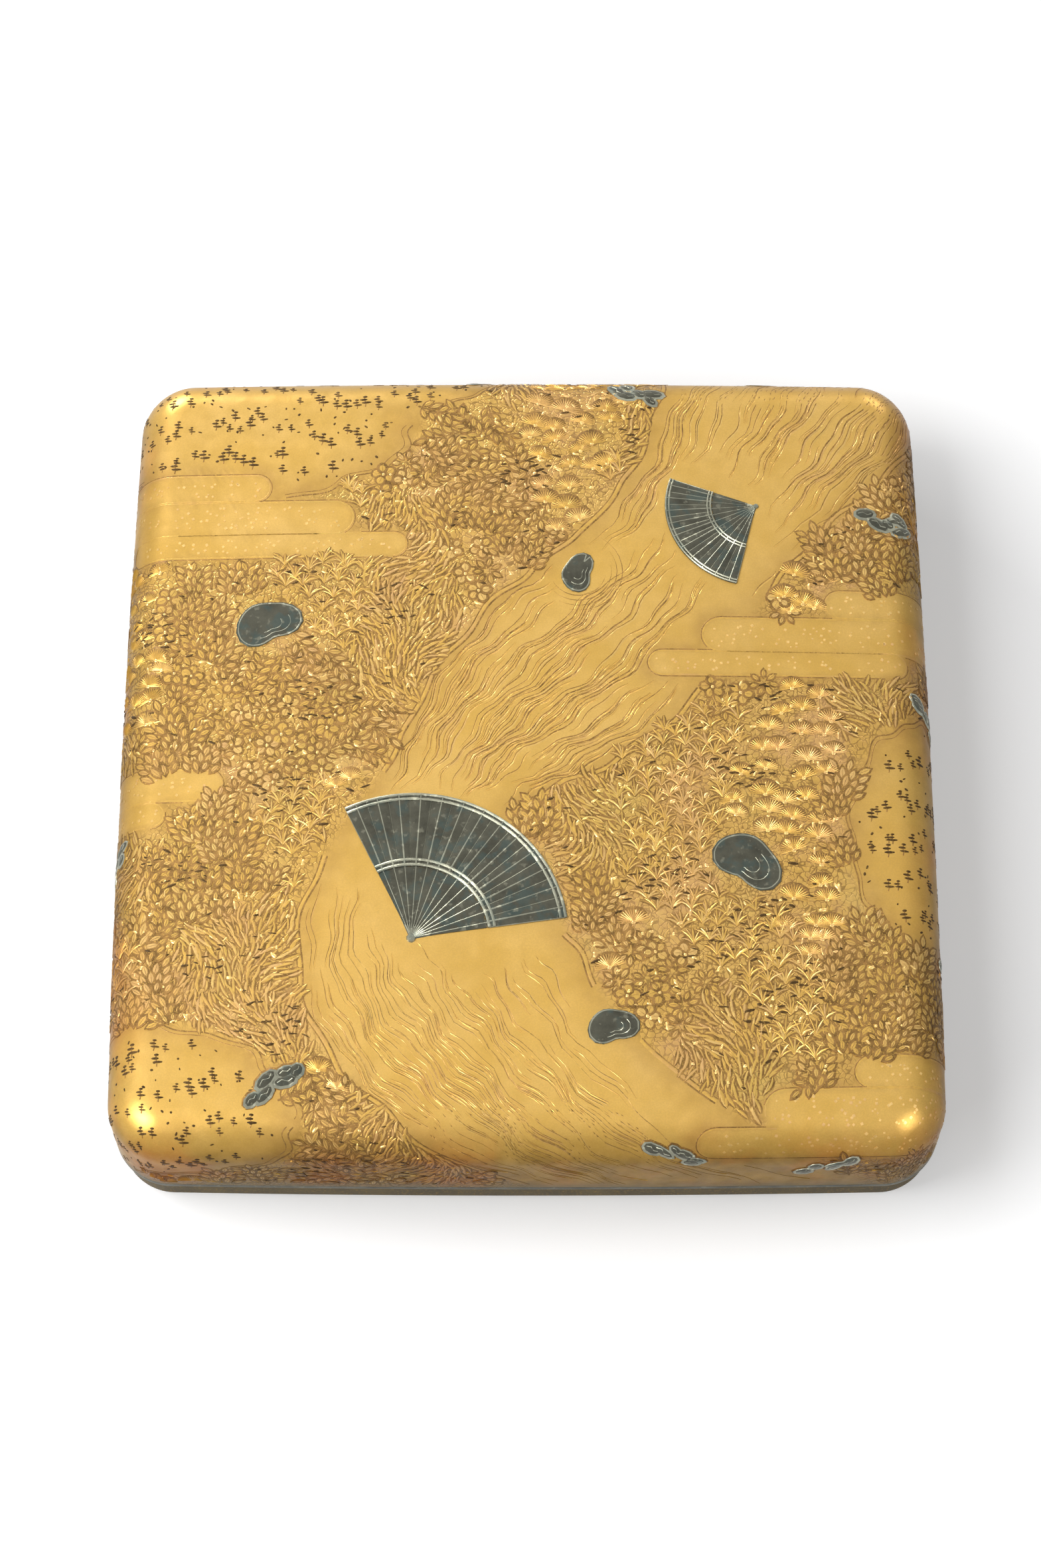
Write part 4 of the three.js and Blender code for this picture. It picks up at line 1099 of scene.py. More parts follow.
class Brush:
    """Draws the design's motifs into the relief of each finish."""

    def __init__(self, design, settings):
        self.design = design
        self.line_width, self.relief, self.leaf = settings.line / MM, settings.relief / MM, settings.leaf / MM
        for finish_name in ("gold", "bright", "line", "deep", "dark", "pale"):
            setattr(self, finish_name, Relief(design.form))

    def leaves(self, instances, template, outline):
        """Leaves of a template (T: x, y, angle, length, width) at each instance, each on a darker skirt
        and with a vein. The skirt is a drawn brown outline that is also painted shade round the raised
        leaf. Later rows of the template lie higher, so that they cover the earlier ones."""
        if not len(instances):
            return
        design, width, random = self.design, self.line_width, self.design.random
        spots = many(instances, template[:, :2]).reshape(-1, 2)
        count, each = len(instances), len(template)
        angle = (instances[:, 2][:, None] + template[None, :, 2]).ravel()
        size = np.tile(template[:, 3:5], (count, 1)) * np.repeat(instances[:, 3], each)[:, None]
        rank = np.tile(np.linspace(0.3, 1, each), count) + random.uniform(-0.08, 0.08, count * each)
        tone = np.repeat(random.uniform(0, 1, count), each) * 0.7 + random.uniform(0, 0.3, count * each)
        angle = angle + random.uniform(-0.13, 0.13, count * each)
        size = size * random.uniform(0.86, 1.12, (count * each, 1))
        spots = spots + random.uniform(-0.14, 0.14, spots.shape)
        keep = design.free(spots, 1.2)
        spots, angle, size, rank, tone = spots[keep], angle[keep], size[keep], rank[keep], tone[keep]
        high = self.relief * rank
        # Darker skirt: drawn outline and painted shade round each leaf.
        self.line.cushions(spots, angle, size + 1.8 * width, outline, ROOT, high - 0.04, 0.985, tone)
        self.gold.cushions(spots, angle, size, outline, np.maximum(high - 0.1, -0.02), high, 0.7, tone)
        t = np.linspace(-0.34, 0.34, 3)
        c, s = np.cos(angle)[:, None], np.sin(angle)[:, None]
        vein = pair(spots[:, :1] + c * size[:, :1] * t, spots[:, 1:] + s * size[:, :1] * t)
        across = width * 0.6 * np.array([0.6, 1, 0.2])
        self.line.strips(vein, across[None], 0.04, high[:, None] * np.array([0.84, 0.97, 0.84]), tone)

    def strokes(self, p, angle, size, width, bend):
        """Short raised strokes, each an arc round a slowly turning heading, over a darker skirt, a drawn
        outline that is also painted shade round the stroke.
        """
        design, steps = self.design, 5
        t = np.linspace(-0.5, 0.5, steps)
        heading = angle[:, None] + bend[:, None] * t
        step = pair(np.cos(heading), np.sin(heading)) * (size / (steps - 1))[:, None, None]
        path = p[:, None] + np.cumsum(step, 1) - step.sum(1, keepdims=True) / 2
        fine = whole(path, lambda p: design.free(p, 0.8))
        path, width = path[fine], width[fine][:, None]
        full = np.sqrt(np.clip(1 - (2 * t * 0.97) ** 2, 0, 1))[None]
        tone = design.draw(path, 0, 1)
        rank = design.draw(path, 0.5, 1)[:, None] * self.relief
        # Darker skirt: drawn outline and painted shade round each stroke.
        self.line.strips(path, (width + 1.5 * self.line_width) * full + 0.1, 0.02, rank * 0.55, tone)
        self.gold.strips(path, width * full + 0.05, rank * 0.6, rank * 0.45, tone)

    def stems(self, instances, points, width):
        """One drawn stem at each instance, along the template's points."""
        paths = many(instances, np.asarray(points, float))
        fine = whole(paths, lambda p: self.design.free(p, 0.8))
        self.line.strips(paths[fine], width, 0.06, 0.02, 0.3)

    def long_line(self, relief, path, width, keep=lambda p: True):
        """A long line in short closed lengths, left out where it leaves the lid, meets an inlay, or
        keep is false."""
        parts = lengths(path)
        fine = whole(parts, lambda p: self.design.free(p, 0.6) & keep(p))
        relief.strips(parts[fine], width, 0.07, 0.0, 0.4)


# Operators


def hang_lamp(name, size, power, place, aim, colour=(1.0, 1.0, 1.0)):
    lamp = bpy.data.lights.new(name, "AREA")
    lamp.size, lamp.energy, lamp.color = size, power, colour
    return aimed(name, lamp, place, aim)


def hang_lamps(settings):
    """Four lamps at the corners, the left ones stronger, that only give the gloss, and a wide panel
    at the left that only gives even light."""
    for name, x, y, power in (
        ("Left back lamp", -0.50, 0.98, settings.left_power * 1.5),
        ("Left front lamp", -0.54, -0.40, settings.left_power),
        ("Right back lamp", 0.50, 0.98, settings.right_power),
        ("Right front lamp", 0.52, -0.50, settings.right_power),
    ):
        lamp = hang_lamp(name, 0.36, power, (x, y, 0.42), (0, 0, 0.03), (1.0, 0.985, 0.96))
        lamp.visible_diffuse = False
    panel = hang_lamp("Left panel", 0.5, settings.panel_power, (-0.42, -0.07, 0.60), (0, 0, 0.02))
    panel.visible_glossy = False


def make_sky(scene, settings):
    """Even light from all round; what the camera, gloss and glass see of it is white."""
    scene.world = bpy.data.worlds.new("Sky")
    scene.world.use_nodes = True
    tree = Tree(scene.world.node_tree)
    strength = tree.span(tree.seen(), 0, 1, settings.sky, 1)
    light = tree.add("ShaderNodeBackground", {"Color": (1, 1, 1), "Strength": strength})
    tree.add("ShaderNodeOutputWorld", {0: light.outputs[0]})


def lay_floor(settings):
    """A plain pale floor. Where it is seen it is lifted, and away from the object it is white."""
    low, high = -FLOOR_REACH, FLOOR_REACH
    corners = [[low, low, 0], [high, low, 0], [high, high, 0], [low, high, 0]]
    floor = put_mesh("Floor", corners, [[[0, 1, 2, 3]]], smooth=False)
    f = Finish("Floor paper")
    seen = f.seen()
    f.surface(Base_Color=f.mix(seen, (0.95, 0.95, 0.955), (0.70, 0.70, 0.704)), Emission_Color=(1, 1, 1))
    away = f.add("ShaderNodeVectorMath", {0: f.place((0.72, 1, 1))}, operation="LENGTH").outputs["Value"]
    lift = f.span(away, 0.122, 0.205, settings.floor_lift, 0.85)
    f.surface(Emission_Strength=f.times(seen, lift), Roughness=0.9, Specular_IOR_Level=0.1)
    floor.data.materials.append(f.material)


class WRITING_BOX_OT_stage(Operator):
    """Floor, sky, lights and camera"""

    bl_idname = "writing_box.stage"
    bl_label = "Stage"

    def execute(self, context):
        scene = context.scene
        settings = scene.writing_box.stage
        scene.view_settings.view_transform = "Standard"
        camera = bpy.data.cameras.new("Camera")
        camera.lens = settings.lens
        camera.sensor_width = 36
        camera.clip_start = 0.01
        scene.camera = aimed("Camera", camera, settings.camera_place, settings.camera_aim)
        hang_lamps(settings)
        make_sky(scene, settings)
        lay_floor(settings)
        return {"FINISHED"}


def crown_rows(form, signs, directions, wall, down, dome_steps, shoulder_steps):
    """Rings from the foot of the shoulder up to the last ring round the crown, on a face that lies
    inside the wall's outer face and down under the lid's."""
    angle = np.linspace(0, math.pi / 2, shoulder_steps + 1)
    run, drop, top = form.run - wall, form.drop - down, form.height - down
    profile = pair(wall + run * (1 - np.cos(angle)), top - form.rise - drop * (1 - np.sin(angle)))
    edge = form.plan(form.run, signs, directions)[0]
    shares = 1 - np.arange(1, dome_steps) / dome_steps
    flat = edge[None] * shares[:, None, None]
    dome = join(flat, top - form.fall(flat[..., :1], flat[..., 1:]), axis=-1)
    return join(form.rows(profile, signs, directions), dome)


def make_shell(form, signs, directions):
    """The gold skin: the outer face is the sheet's map, from the lower edge up to the crown; the
    inner one lies at half the wall's thickness."""
    down = join(np.linspace(form.reach, form.shoulder, 10), np.linspace(form.shoulder, 0, 20)[1:])
    rings = form.sheet_rings(down, signs, directions)
    inside = rings[-1:] * (1 - np.arange(1, 56) / 56)[:, None, None]
    sheet = join(rings, inside)
    outer = form.face(sheet[..., 0], sheet[..., 1])
    middle = form.wall / 2
    inner = crown_rows(form, signs, directions, middle, form.panel / 2, 8, 10)
    back = [[middle, z] for z in np.linspace(form.shoulder_foot, form.foot, 3)[1:]]
    under = join(inner[::-1], form.rows(back, signs, directions))
    points, faces = joined_skin(outer, under)
    flat = sheet.reshape(-1, 2)
    rest = len(points) - len(flat)
    design = Design(form, bpy.context.scene.writing_box.design.seed)
    values = {key: join(tone, np.zeros(rest)) for key, tone in design.tones(flat).items()}
    # Shares of darkening: worn gold with painted shade down the shoulder, grey green at the lower edge.
    values.update(ageing_and_shade(form, points))
    uv = join(flat, points[len(flat) :, :2]) / SHEET_UNIT
    piece = put_mesh("lid_shell", points, faces, sharp=40, uv=uv, values=values)
    walls = [f"lid_wall_{side}" for side in SIDES]
    finish(piece, "gold_ground", "lid", "gold_lacquer", "lid_panel", *walls)


def joined_skin(outer, inner):
    """One closed surface: up the outer rows to the crown's pole, and from the inner pole down the
    inner rows, whose last row meets the first outer one."""
    around = outer.shape[1]
    points = join(outer.reshape(-1, 3), inner.reshape(-1, 3))
    start = outer.shape[0] * around
    poles = len(points)
    points = join(points, outer[-1].mean(0)[None], inner[0].mean(0)[None])
    here = np.arange(around)
    there = np.roll(here, -1)
    return points, [
        grid_faces(outer.shape[0], around),
        grid_faces(inner.shape[0], around, first=start),
        np.stack([poles - around + here, poles - around + there, there, here], -1),
        fan(here + start - around, poles),
        fan(here + start, poles + 1, under=True),
    ]


def make_lining(form, signs, directions):
    """Sprinkled lacquer from half the wall's thickness inwards."""
    outer_wall = form.wall / 2
    outer = crown_rows(form, signs, directions, outer_wall, form.panel / 2, 8, 10)
    inner = crown_rows(form, signs, directions, form.wall, form.panel, 12, 12)
    foot = form.rows([[outer_wall, form.foot]], signs, directions)
    last = form.rows([[form.wall, form.foot]], signs, directions)
    points, faces = joined_skin(join(foot, outer), join(inner[::-1], last))
    finish(put_mesh("lid_lining", points, faces, sharp=40), "sprinkled", "lid", "sprinkled_lacquer")


class WRITING_BOX_OT_lid_shell(Operator):
    """The lid's smooth shell, its sprinkled lining and its silver rim"""

    bl_idname = "writing_box.lid_shell"
    bl_label = "Lid shell"

    def execute(self, context):
        form = LidForm(context.scene.writing_box.lid)
        make_shell(form, *ring_pattern(*FINE_RING))
        signs, directions = ring_pattern(*COARSE_RING)
        make_lining(form, signs, directions)
        rim = band(form, 0.0, form.wall, form.edge, form.foot, [0.7, 0.15, 0.15, 0.5], 5)
        finish(put_mesh("lid_edge_rim", *rim, sharp=50), "rim", "lid", "silver_rim", "lid_rim")
        return {"FINISHED"}


def draw_water(design, brush):
    """Flow lines along the stream, at an offset that waves as a sum of sines, and eddies in arcs
    round the inlays that lie in the water."""
    count, steps = 1150, 14
    start = design.between(count, 0, 385)
    span = design.between(count, 10, 52)
    share = design.between(count, -0.96, 0.96)
    place = np.clip(start[:, None] + span[:, None] * np.linspace(0, 1, steps), 0, STREAM_STEPS - 1)
    wave = 0.9 * np.sin(place * 0.24 + share[:, None] * 9) + 0.45 * np.sin(place * 0.55 + 2)
    at = lambda values: np.interp(place, np.arange(STREAM_STEPS), values)
    offset = share[:, None] * at(design.half) + wave
    paths = np.stack([at(design.centre[:, k]) + at(design.side[:, k]) * offset for k in (0, 1)], -1)
    paths = paths[whole(paths, lambda p: design.free(p, 1.2) & (design.mist(p) > 1))]
    width = brush.line_width * np.sin(np.linspace(0.12, math.pi - 0.05, steps))
    brush.line.strips(paths, width[None], 0.05)
    lit = paths + np.array([0.26, -0.32])
    brush.gold.strips(lit, width[None] * 1.1, 0.05, 0.0, design.draw(paths, 0.2, 0.8))
    rings = []
    for u, v, radius in design.spots[: len(STONES)]:
        for k in range(4):
            for half in (0.0, 3.1):
                arc = np.linspace(0.5 + 0.3 * k, 3.0 + 0.4 * k, steps) + half
                r = radius + 1.6 + 1.5 * k
                rings.append(pair(u + r * np.cos(arc), v + r * np.sin(arc)))
    rings = np.array(rings)
    wet = whole(rings, lambda p: (design.stream(p) < -1) & design.on_lid(p))
    brush.line.strips(rings[wet], width[None], 0.05)


def draw_outlines(design, brush):
    """Double lines along the banks, round the mist and over the hills."""
    dry = lambda p: (design.mist(p) > 0.5) & (design.hill(p) > 1.02)
    t = np.arange(len(design.centre[::2]))
    shiver = pair(np.sin(t * 0.6), np.cos(t * 0.47)) * 0.7
    for side in (-1, 1):
        for gap, thick, relief in (
            (0.0, 1.6, brush.line), (1.4, 1.1, brush.line), (0.7, 2.6, brush.gold)
        ):
            offset = side * (design.half + gap)[::2, None]
            bank = design.centre[::2] + design.side[::2] * offset + shiver
            brush.long_line(relief, bank, brush.line_width * thick, keep=dry)
    for a, b, c, d, r in design.mists:
        heading = math.atan2(d - b, c - a)
        arc = np.linspace(-math.pi / 2, math.pi / 2, 15) + heading
        for gap, thick, relief in ((0.0, 1.0, brush.line), (0.5, 1.2, brush.gold)):
            round_end = (r - gap) * pair(np.cos(arc), np.sin(arc))
            corners = join([c, d] + round_end, [a, b] - round_end)
            corners = join(corners, corners[:1])
            place = join([0], np.cumsum(np.linalg.norm(np.diff(corners, axis=0), axis=1)))
            along = np.linspace(0, place[-1], int(place[-1] / 1.4))
            path = np.stack([np.interp(along, place, corners[:, k]) for k in (0, 1)], -1)
            apart = design.mist(path) > -gap - 0.4
            parts = np.split(path, np.flatnonzero(np.diff(apart.astype(int))) + 1)
            for part, keep in zip(parts, apart[np.cumsum([0] + [len(x) for x in parts[:-1]])]):
                if keep and len(part) > 6:
                    brush.long_line(relief, part, brush.line_width * thick)
    arc = np.linspace(0, 2 * math.pi, 300)
    bumps = 1 + 0.03 * np.sin(arc * 9) + 0.02 * np.sin(arc * 17 + 1)
    for number, (u, v, a, b) in enumerate(design.hills):
        others = np.delete(design.hills, number, axis=0)
        shown = lambda p: (design.hill(p, others) > 1.02) & design.ground(p, 0.5, 2, 0)
        for gap, thick in ((1.0, 1.4), (0.96, 0.7)):
            path = pair(u + a * gap * bumps * np.cos(arc), v + b * gap * bumps * np.sin(arc))
            brush.long_line(brush.line, path, brush.line_width * thick, keep=shown)


def draw_sprigs(design, brush):
    """Sprigs of narrow leaves in pairs along a stem, with one at the tip."""
    unit = brush.leaf
    p = design.plots(0, 7.4)
    pairs = [
        [x * unit, side * 0.50 * unit, side * 0.75, unit * 1.12, unit * 0.42]
        for x in (-1.2, -0.5, 0.2, 0.9) for side in (1, -1)
    ]
    template = np.array(pairs + [[1.7 * unit, 0, 0, unit * 1.2, unit * 0.44]])
    instances = design.planted(p, (0, 6.3), (0.85, 1.15))
    stem = pair(np.linspace(-1.9, 1.5, 5) * unit, np.zeros(5))
    brush.stems(instances, stem, brush.line_width * np.array([1.5, 1.4, 1.2, 1.0, 0.6]))
    brush.leaves(instances, template, LEAF)


def draw_bushes(design, brush):
    """Bushes: pointed leaves in rows that fan out upwards, the lower rows over the upper."""
    unit = brush.leaf
    p = design.plots(1, 7.6)
    leaves = []
    for row, many_of in enumerate((3, 4, 5, 4)):
        for lean in np.linspace(-0.95, 0.95, many_of):
            lift = (1.35 - row * 0.66 - 0.25 * abs(lean)) * unit
            leaves.append([lean * 1.2 * unit, lift, math.pi / 2 - lean * 0.85, unit * 1.15, unit * 0.48])
    instances = design.planted(p, (-0.5, 0.5), (0.8, 1.1))
    brush.leaves(instances, np.array(leaves), LEAF)


def draw_rocks(design, brush):
    """Rock faces of close strokes, whose heading turns slowly from place to place."""
    p = design.plots(2, 2.1, 0.4, 1.2)
    heading = 1.45 + 0.8 * np.sin(p[:, 0] * 0.16 + p[:, 1] * 0.07) + 0.5 * np.sin(p[:, 1] * 0.21)
    count = len(p)
    brush.strokes(
        p, heading + design.between(count, -0.3, 0.3), design.between(count, 2.4, 5.4),
        design.between(count, 0.7, 1.1), design.between(count, -0.9, 0.9),
    )


def draw_grasses(design, brush):
    """Tufts of grass: blades that fan out from a foot and bend outwards."""
    p = design.plots(3, 4.6)
    count = len(p)
    lean = np.linspace(-0.9, 0.9, 7) + design.between((count, 7), -0.12, 0.12)
    length = design.between((count, 7), 3.2, 5.2)
    heading = math.pi / 2 - lean
    middle = p[:, None] + pair(np.cos(heading), np.sin(heading)) * length[..., None] / 2
    brush.strokes(
        middle.reshape(-1, 2), heading.ravel(), length.ravel(), design.between(count * 7, 0.5, 0.75),
        (-lean * 1.1).ravel(),
    )


def draw_blossoms(design, brush):
    """Five petals round a bright heart, and rings of seven leaves between them."""
    unit = brush.leaf
    p = design.plots(4, 6.8)

    def ring(count, radius, wide, length=1.0):
        turn = np.arange(count) * 2 * math.pi / count
        across = [radius * unit * np.cos(turn), radius * unit * np.sin(turn)]
        return np.stack([*across, turn, turn * 0 + unit * length, turn * 0 + unit * wide], -1)

    petals, leaves = ring(5, 0.5, 0.7, 0.8), ring(7, 0.85, 0.44)
    pick = design.pick(p, 0.6)
    angle = design.draw(p, 0, 6.3)
    brush.leaves(placed(p[~pick], angle[~pick], 0.9), leaves, LEAF)
    brush.leaves(placed(p[pick], angle[pick], 1.1), petals, ROUND)
    hearts = p[pick & design.free(p, 1.2)]
    brush.bright.cushions(hearts, 0, unit * 0.26, ROUND, 0.1, brush.relief + 0.04, 0.7, 0.7)


def draw_pines(design, brush):
    """Pine clumps: low cushions, each with needles that spread from its foot."""
    p = design.plots(5, 6.8)
    p = p[design.free(p, 3)]
    clumps = design.planted(p, (-0.35, 0.35), (0.8, 1.1))
    size = clumps[:, 3:4] * np.array([7.8, 5.2])
    rank = design.draw(p, 0.05, 0.12)
    needles = 17
    brush.line.cushions(p, clumps[:, 2], size, ROUND, ROOT, rank, 0.9, 0.3)
    turn = np.linspace(0.06, math.pi - 0.06, needles)[:, None]
    reach = np.linspace(0.1, 1.0, 4)
    template = pair(reach * np.cos(turn) * 4.0, reach * np.sin(turn) * 3.7 - 1.9).reshape(-1, 2)
    paths = many(clumps, template).reshape(-1, 4, 2)
    base = np.repeat(rank, needles)[:, None] * np.array([1.0, 0.97, 0.85, 0.65])
    tone = np.repeat(design.draw(p, 0, 0.8), needles)
    brush.gold.strips(paths, brush.line_width * np.array([0.7, 1.0, 0.95, 0.4])[None], 0.09, base, tone)
    feet = many(clumps, np.array([[0.0, -1.9]]))[:, 0]
    brush.bright.cushions(feet, clumps[:, 2], [1.5, 1.0], ROUND, 0.0, rank + 0.12, 0.7, 0.6)


def draw_slopes(design, brush):
    """Distant trees on the hills, in loose rows: a thin trunk and three flat crowns, each narrower
    than the one below, with single dots between the trees."""
    p = design.scatter(3.7, 0.4)
    inside = (design.hill(p) < 0.86) & design.ground(p, 2.5, 3, 0) & design.free(p, 2.5)
    rows = np.sin(p[:, 1] * 0.55 + 1.6 * np.sin(p[:, 0] * 0.10)) > -0.05
    p = p[inside & rows & design.pick(p, 0.75)]
    tall = design.draw(p, 0.8, 1.35)
    trees = placed(p, design.draw(p, -0.12, 0.12), tall)
    trunk = pair([0.0, 0.14, -0.08, 0.06], np.linspace(-1.4, 1.3, 4))
    brush.stems(trees, trunk, brush.line_width * 0.9)
    crowns = np.array([[0.3, -0.35, 2.3], [-0.25, 0.45, 1.8], [0.1, 1.25, 1.1]])
    for place, width in zip(np.moveaxis(many(trees, crowns[:, :2]), 1, 0), crowns[:, 2]):
        size = pair(tall * width, tall * 0.6)
        brush.deep.cushions(place, trees[:, 2], size, ROUND, ROOT, 0.1, 0.8, 0.4)
    p = design.scatter(2.6, 0.45)
    inside = (design.hill(p) < 0.93) & design.ground(p, 1.5, 2, 0) & design.free(p, 1.5)
    p = p[inside & design.pick(p, 0.16)]
    size = design.sizes(len(p), (0.6, 1.3), (0.4, 0.8))
    brush.deep.cushions(p, design.draw(p, 0, 3), size, ROUND, ROOT, 0.08, 0.8, 0.5)


def draw_sparks(design, brush):
    """Small cut squares of bright foil in the mist, and single raised points of pale gold among the leaves,
    whose paleness is a painted glint.
    """
    p = design.scatter(1.7, 0.5)
    inside = (design.mist(p) < -2.0) & design.free(p, 1.5) & design.pick(p, 0.4)
    squares = p[inside]
    size = design.draw(squares, 0.45, 0.8)
    turn = design.draw(squares, 0, 1.5)
    brush.bright.cushions(squares, turn, pair(size, size), SQUARE, ROOT, 0.06, 0.97, 0.6)
    # Pale gold points among the leaves: raised, and pale as painted glints.
    p = design.scatter(2.6, 0.5)
    points = p[design.ground(p, 2, 3) & design.free(p, 2) & design.pick(p, 0.17)]
    count = len(points)
    size = design.sizes(count, (0.8, 2.6), (0.5, 1.0))
    turn = design.between(count, 0, 3)
    brush.bright.cushions(points, turn, size, ROUND, 0.0, brush.relief + 0.03, 0.6, 0.75)


def draw_shade_flecks(design, brush):
    """Dark flecks between the leaves, painted shade for the gaps under them, in loose drifts where the
    product of two slow waves is high.
    """
    p = design.scatter(2.3, 0.5)
    u, v = p[:, 0], p[:, 1]
    drift = np.sin(u * 0.10 + 2 * np.sin(v * 0.05)) * np.sin(v * 0.14 + np.sin(u * 0.06))
    chance = np.where(drift > 0.6, 0.5, 0.04)
    points = p[design.ground(p, 2, 2.5) & design.free(p, 2) & design.pick(p, chance)]
    count = len(points)
    size = design.sizes(count, (1.3, 3.4), (0.5, 0.95))
    turn = design.between(count, -0.5, 0.5)
    # Raised dark flecks: painted shade for gaps under the leaves.
    brush.deep.cushions(points, turn, size, ROUND, 0.0, brush.relief + 0.02, 0.6, 0.5)


def draw_stones(design, brush):
    """Small groups of dark silver stones on the banks and over the shoulder."""
    places = [(110, 10), (119, -58), (38, -116), (76, -124), (-113, -34)]
    places += [(-10, 119), (30, 106), (62, 118), (-64, -96), (98, 66)]
    for u, v in places:
        count = 6
        heading = design.between(1, -0.6, 0.6)
        along = np.linspace(-1, 1, count) * 6.5
        p = pair(u + along * np.cos(heading), v + along * np.sin(heading))
        p += design.between((count, 2), -1.8, 1.8)
        size = design.sizes(count, (4.0, 7.5), (2.2, 3.8))
        keep = design.free(p, 2)
        p, size = p[keep], size[keep]
        turn = (heading + design.between(count, -0.5, 0.5))[keep]
        brush.line.cushions(p, turn, size + 1.5, ROUND, ROOT, 0.14, 0.95, 0.2)
        brush.pale.cushions(p + [0.05, -0.22], turn, size + 0.8, ROUND, ROOT, 0.24, 0.95, 0.5)
        brush.dark.cushions(p, turn, size, ROUND, 0.1, 0.36, 0.75, 0.5)
        ridge = np.array([[-0.3, 0.0], [-0.1, 0.07], [0.12, -0.05], [0.3, 0.02]])
        ridge = many(placed(p, turn, 1.0), ridge)
        ridge = p[:, None] + (ridge - p[:, None]) * size[:, None, :1]
        brush.pale.strips(ridge, 0.28, 0.05, 0.32, 0.5)


class WRITING_BOX_OT_design(Operator):
    """The relief design on the lid: water, hills, mist, leaves, pines and blossoms"""

    bl_idname = "writing_box.design"
    bl_label = "Relief design"

    def execute(self, context):
        settings = context.scene.writing_box
        design = Design(LidForm(settings.lid), settings.design.seed)
        brush = Brush(design, settings.design)
        for draw in (
            draw_water, draw_outlines, draw_sprigs, draw_bushes, draw_rocks, draw_grasses,
            draw_blossoms, draw_pines, draw_slopes, draw_sparks, draw_stones, draw_shade_flecks,
        ):
            draw(design, brush)
        for name, key, slot in (
            ("gold", "leaf_gold", "gold_lacquer"), ("bright", "bright_gold", "gold_lacquer"),
            ("line", "line", "gold_lacquer"), ("deep", "deep_line", "gold_lacquer"),
            ("dark", "stone_silver", "silver_inlay"), ("pale", "silver_edge", "silver_inlay"),
        ):
            getattr(brush, name).lay(f"design_{name}", key, slot)
        return {"FINISHED"}


def draw_arcs(form, relief, x, y, radii, start, end, width, height, base):
    """Arcs round a point, each in short closed lengths."""
    angle = np.linspace(start, end, 49)
    for radius in radii:
        place = form.on_sheet(x + radius * np.cos(angle), y + radius * np.sin(angle))
        relief.strips(lengths(np.stack(place, -1), 4), width, height, base, 0.5)


def spokes(form, angle, x, y, inner, outer):
    """Straight paths (K, 5, 2) from one radius to another."""
    r = np.linspace(inner, outer, 5)
    place = form.on_sheet(x + r * np.cos(angle)[:, None], y + r * np.sin(angle)[:, None])
    return np.stack(place, -1), r


def make_fan(form, dark, pale, name, x, y, turn, sweep, share):
    """A half open fan: the leaf folds into triangular pleats, the sticks taper towards the rivet."""
    start, sweep = math.radians(turn - sweep / 2), math.radians(sweep)
    folds = 13 if share > 0.8 else 10
    inner, outer = (FAN_LEAF_START + 0.5) * share, (FAN_LEAF_END - 0.5) * share
    middle = start + sweep * (np.arange(folds) + 0.5) / folds
    paths, r = spokes(form, middle, x, y, inner, outer)
    dark.strips(paths, (r * sweep / folds)[None], 0.3, 0.36, np.arange(folds) % 2 * 0.7 + 0.15)
    pale.strips(paths, 0.34 * share + 0.12, 0.05, 0.64, 0.5)
    edges = start + sweep * np.arange(folds + 1) / folds
    paths, _ = spokes(form, edges, x, y, inner, outer)
    pale.strips(paths, 0.25, 0.12, 0.34, 0.2)
    radii = [outer, inner, outer - 1.3 * share, inner + 1.4 * share]
    draw_arcs(form, pale, x, y, radii, start, start + sweep, 0.6 * share + 0.1, 0.16, 0.6)
    paths, r = spokes(form, middle, x, y, FAN_RIVET * 0.2 * share, inner + 0.4)
    width = share * (0.75 + 0.9 * (r - r[0]) / (r[-1] - r[0]))
    dark.strips(paths, width[None], 0.3, 0.05, 0.4)
    pale.strips(paths, 0.22 * share + 0.08, 0.05, 0.33, 0.5)
    u, v = form.on_sheet(np.array([x]), np.array([y]))
    pale.cushions(pair(u, v), 0.0, 2.6 * share, ROUND, 0.0, 0.6, 0.8, 0.5)
    sticks_piece = merged_copy(f"fan_ribs_{name}", f"fan_ribs_{name}_sheet")
    finish(sticks_piece, "silver", "lid", "silver_inlay", f"fan_ribs_{name}")


def draw_stone_lines(form, pale):
    """A pale line inside each water stone's edge and two shorter ones across its top."""
    for node in STONES:
        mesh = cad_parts[node].data
        co = np.empty(len(mesh.vertices) * 3)
        mesh.vertices.foreach_get("co", co)
        co = co.reshape(-1, 3) / MM
        middle = (co.min(0) + co.max(0))[:2] / 2
        rim = co[:, :2] - middle
        angle = np.arctan2(rim[:, 1], rim[:, 0])
        order = np.argsort(angle)
        radius = np.linalg.norm(rim, axis=1)
        t = np.linspace(-math.pi, math.pi, 61)
        r = np.interp(t, angle[order], radius[order], period=2 * math.pi)
        for share, width in ((0.93, 0.45), (0.62, 0.25), (0.36, 0.22)):
            x, y = middle[0] + share * r * np.cos(t), middle[1] + share * r * np.sin(t)
            parts = lengths(np.stack(form.on_sheet(x, y), -1))
            pale.strips(parts if share > 0.9 else parts[2:7], width, 0.06, 0.34, 0.4)


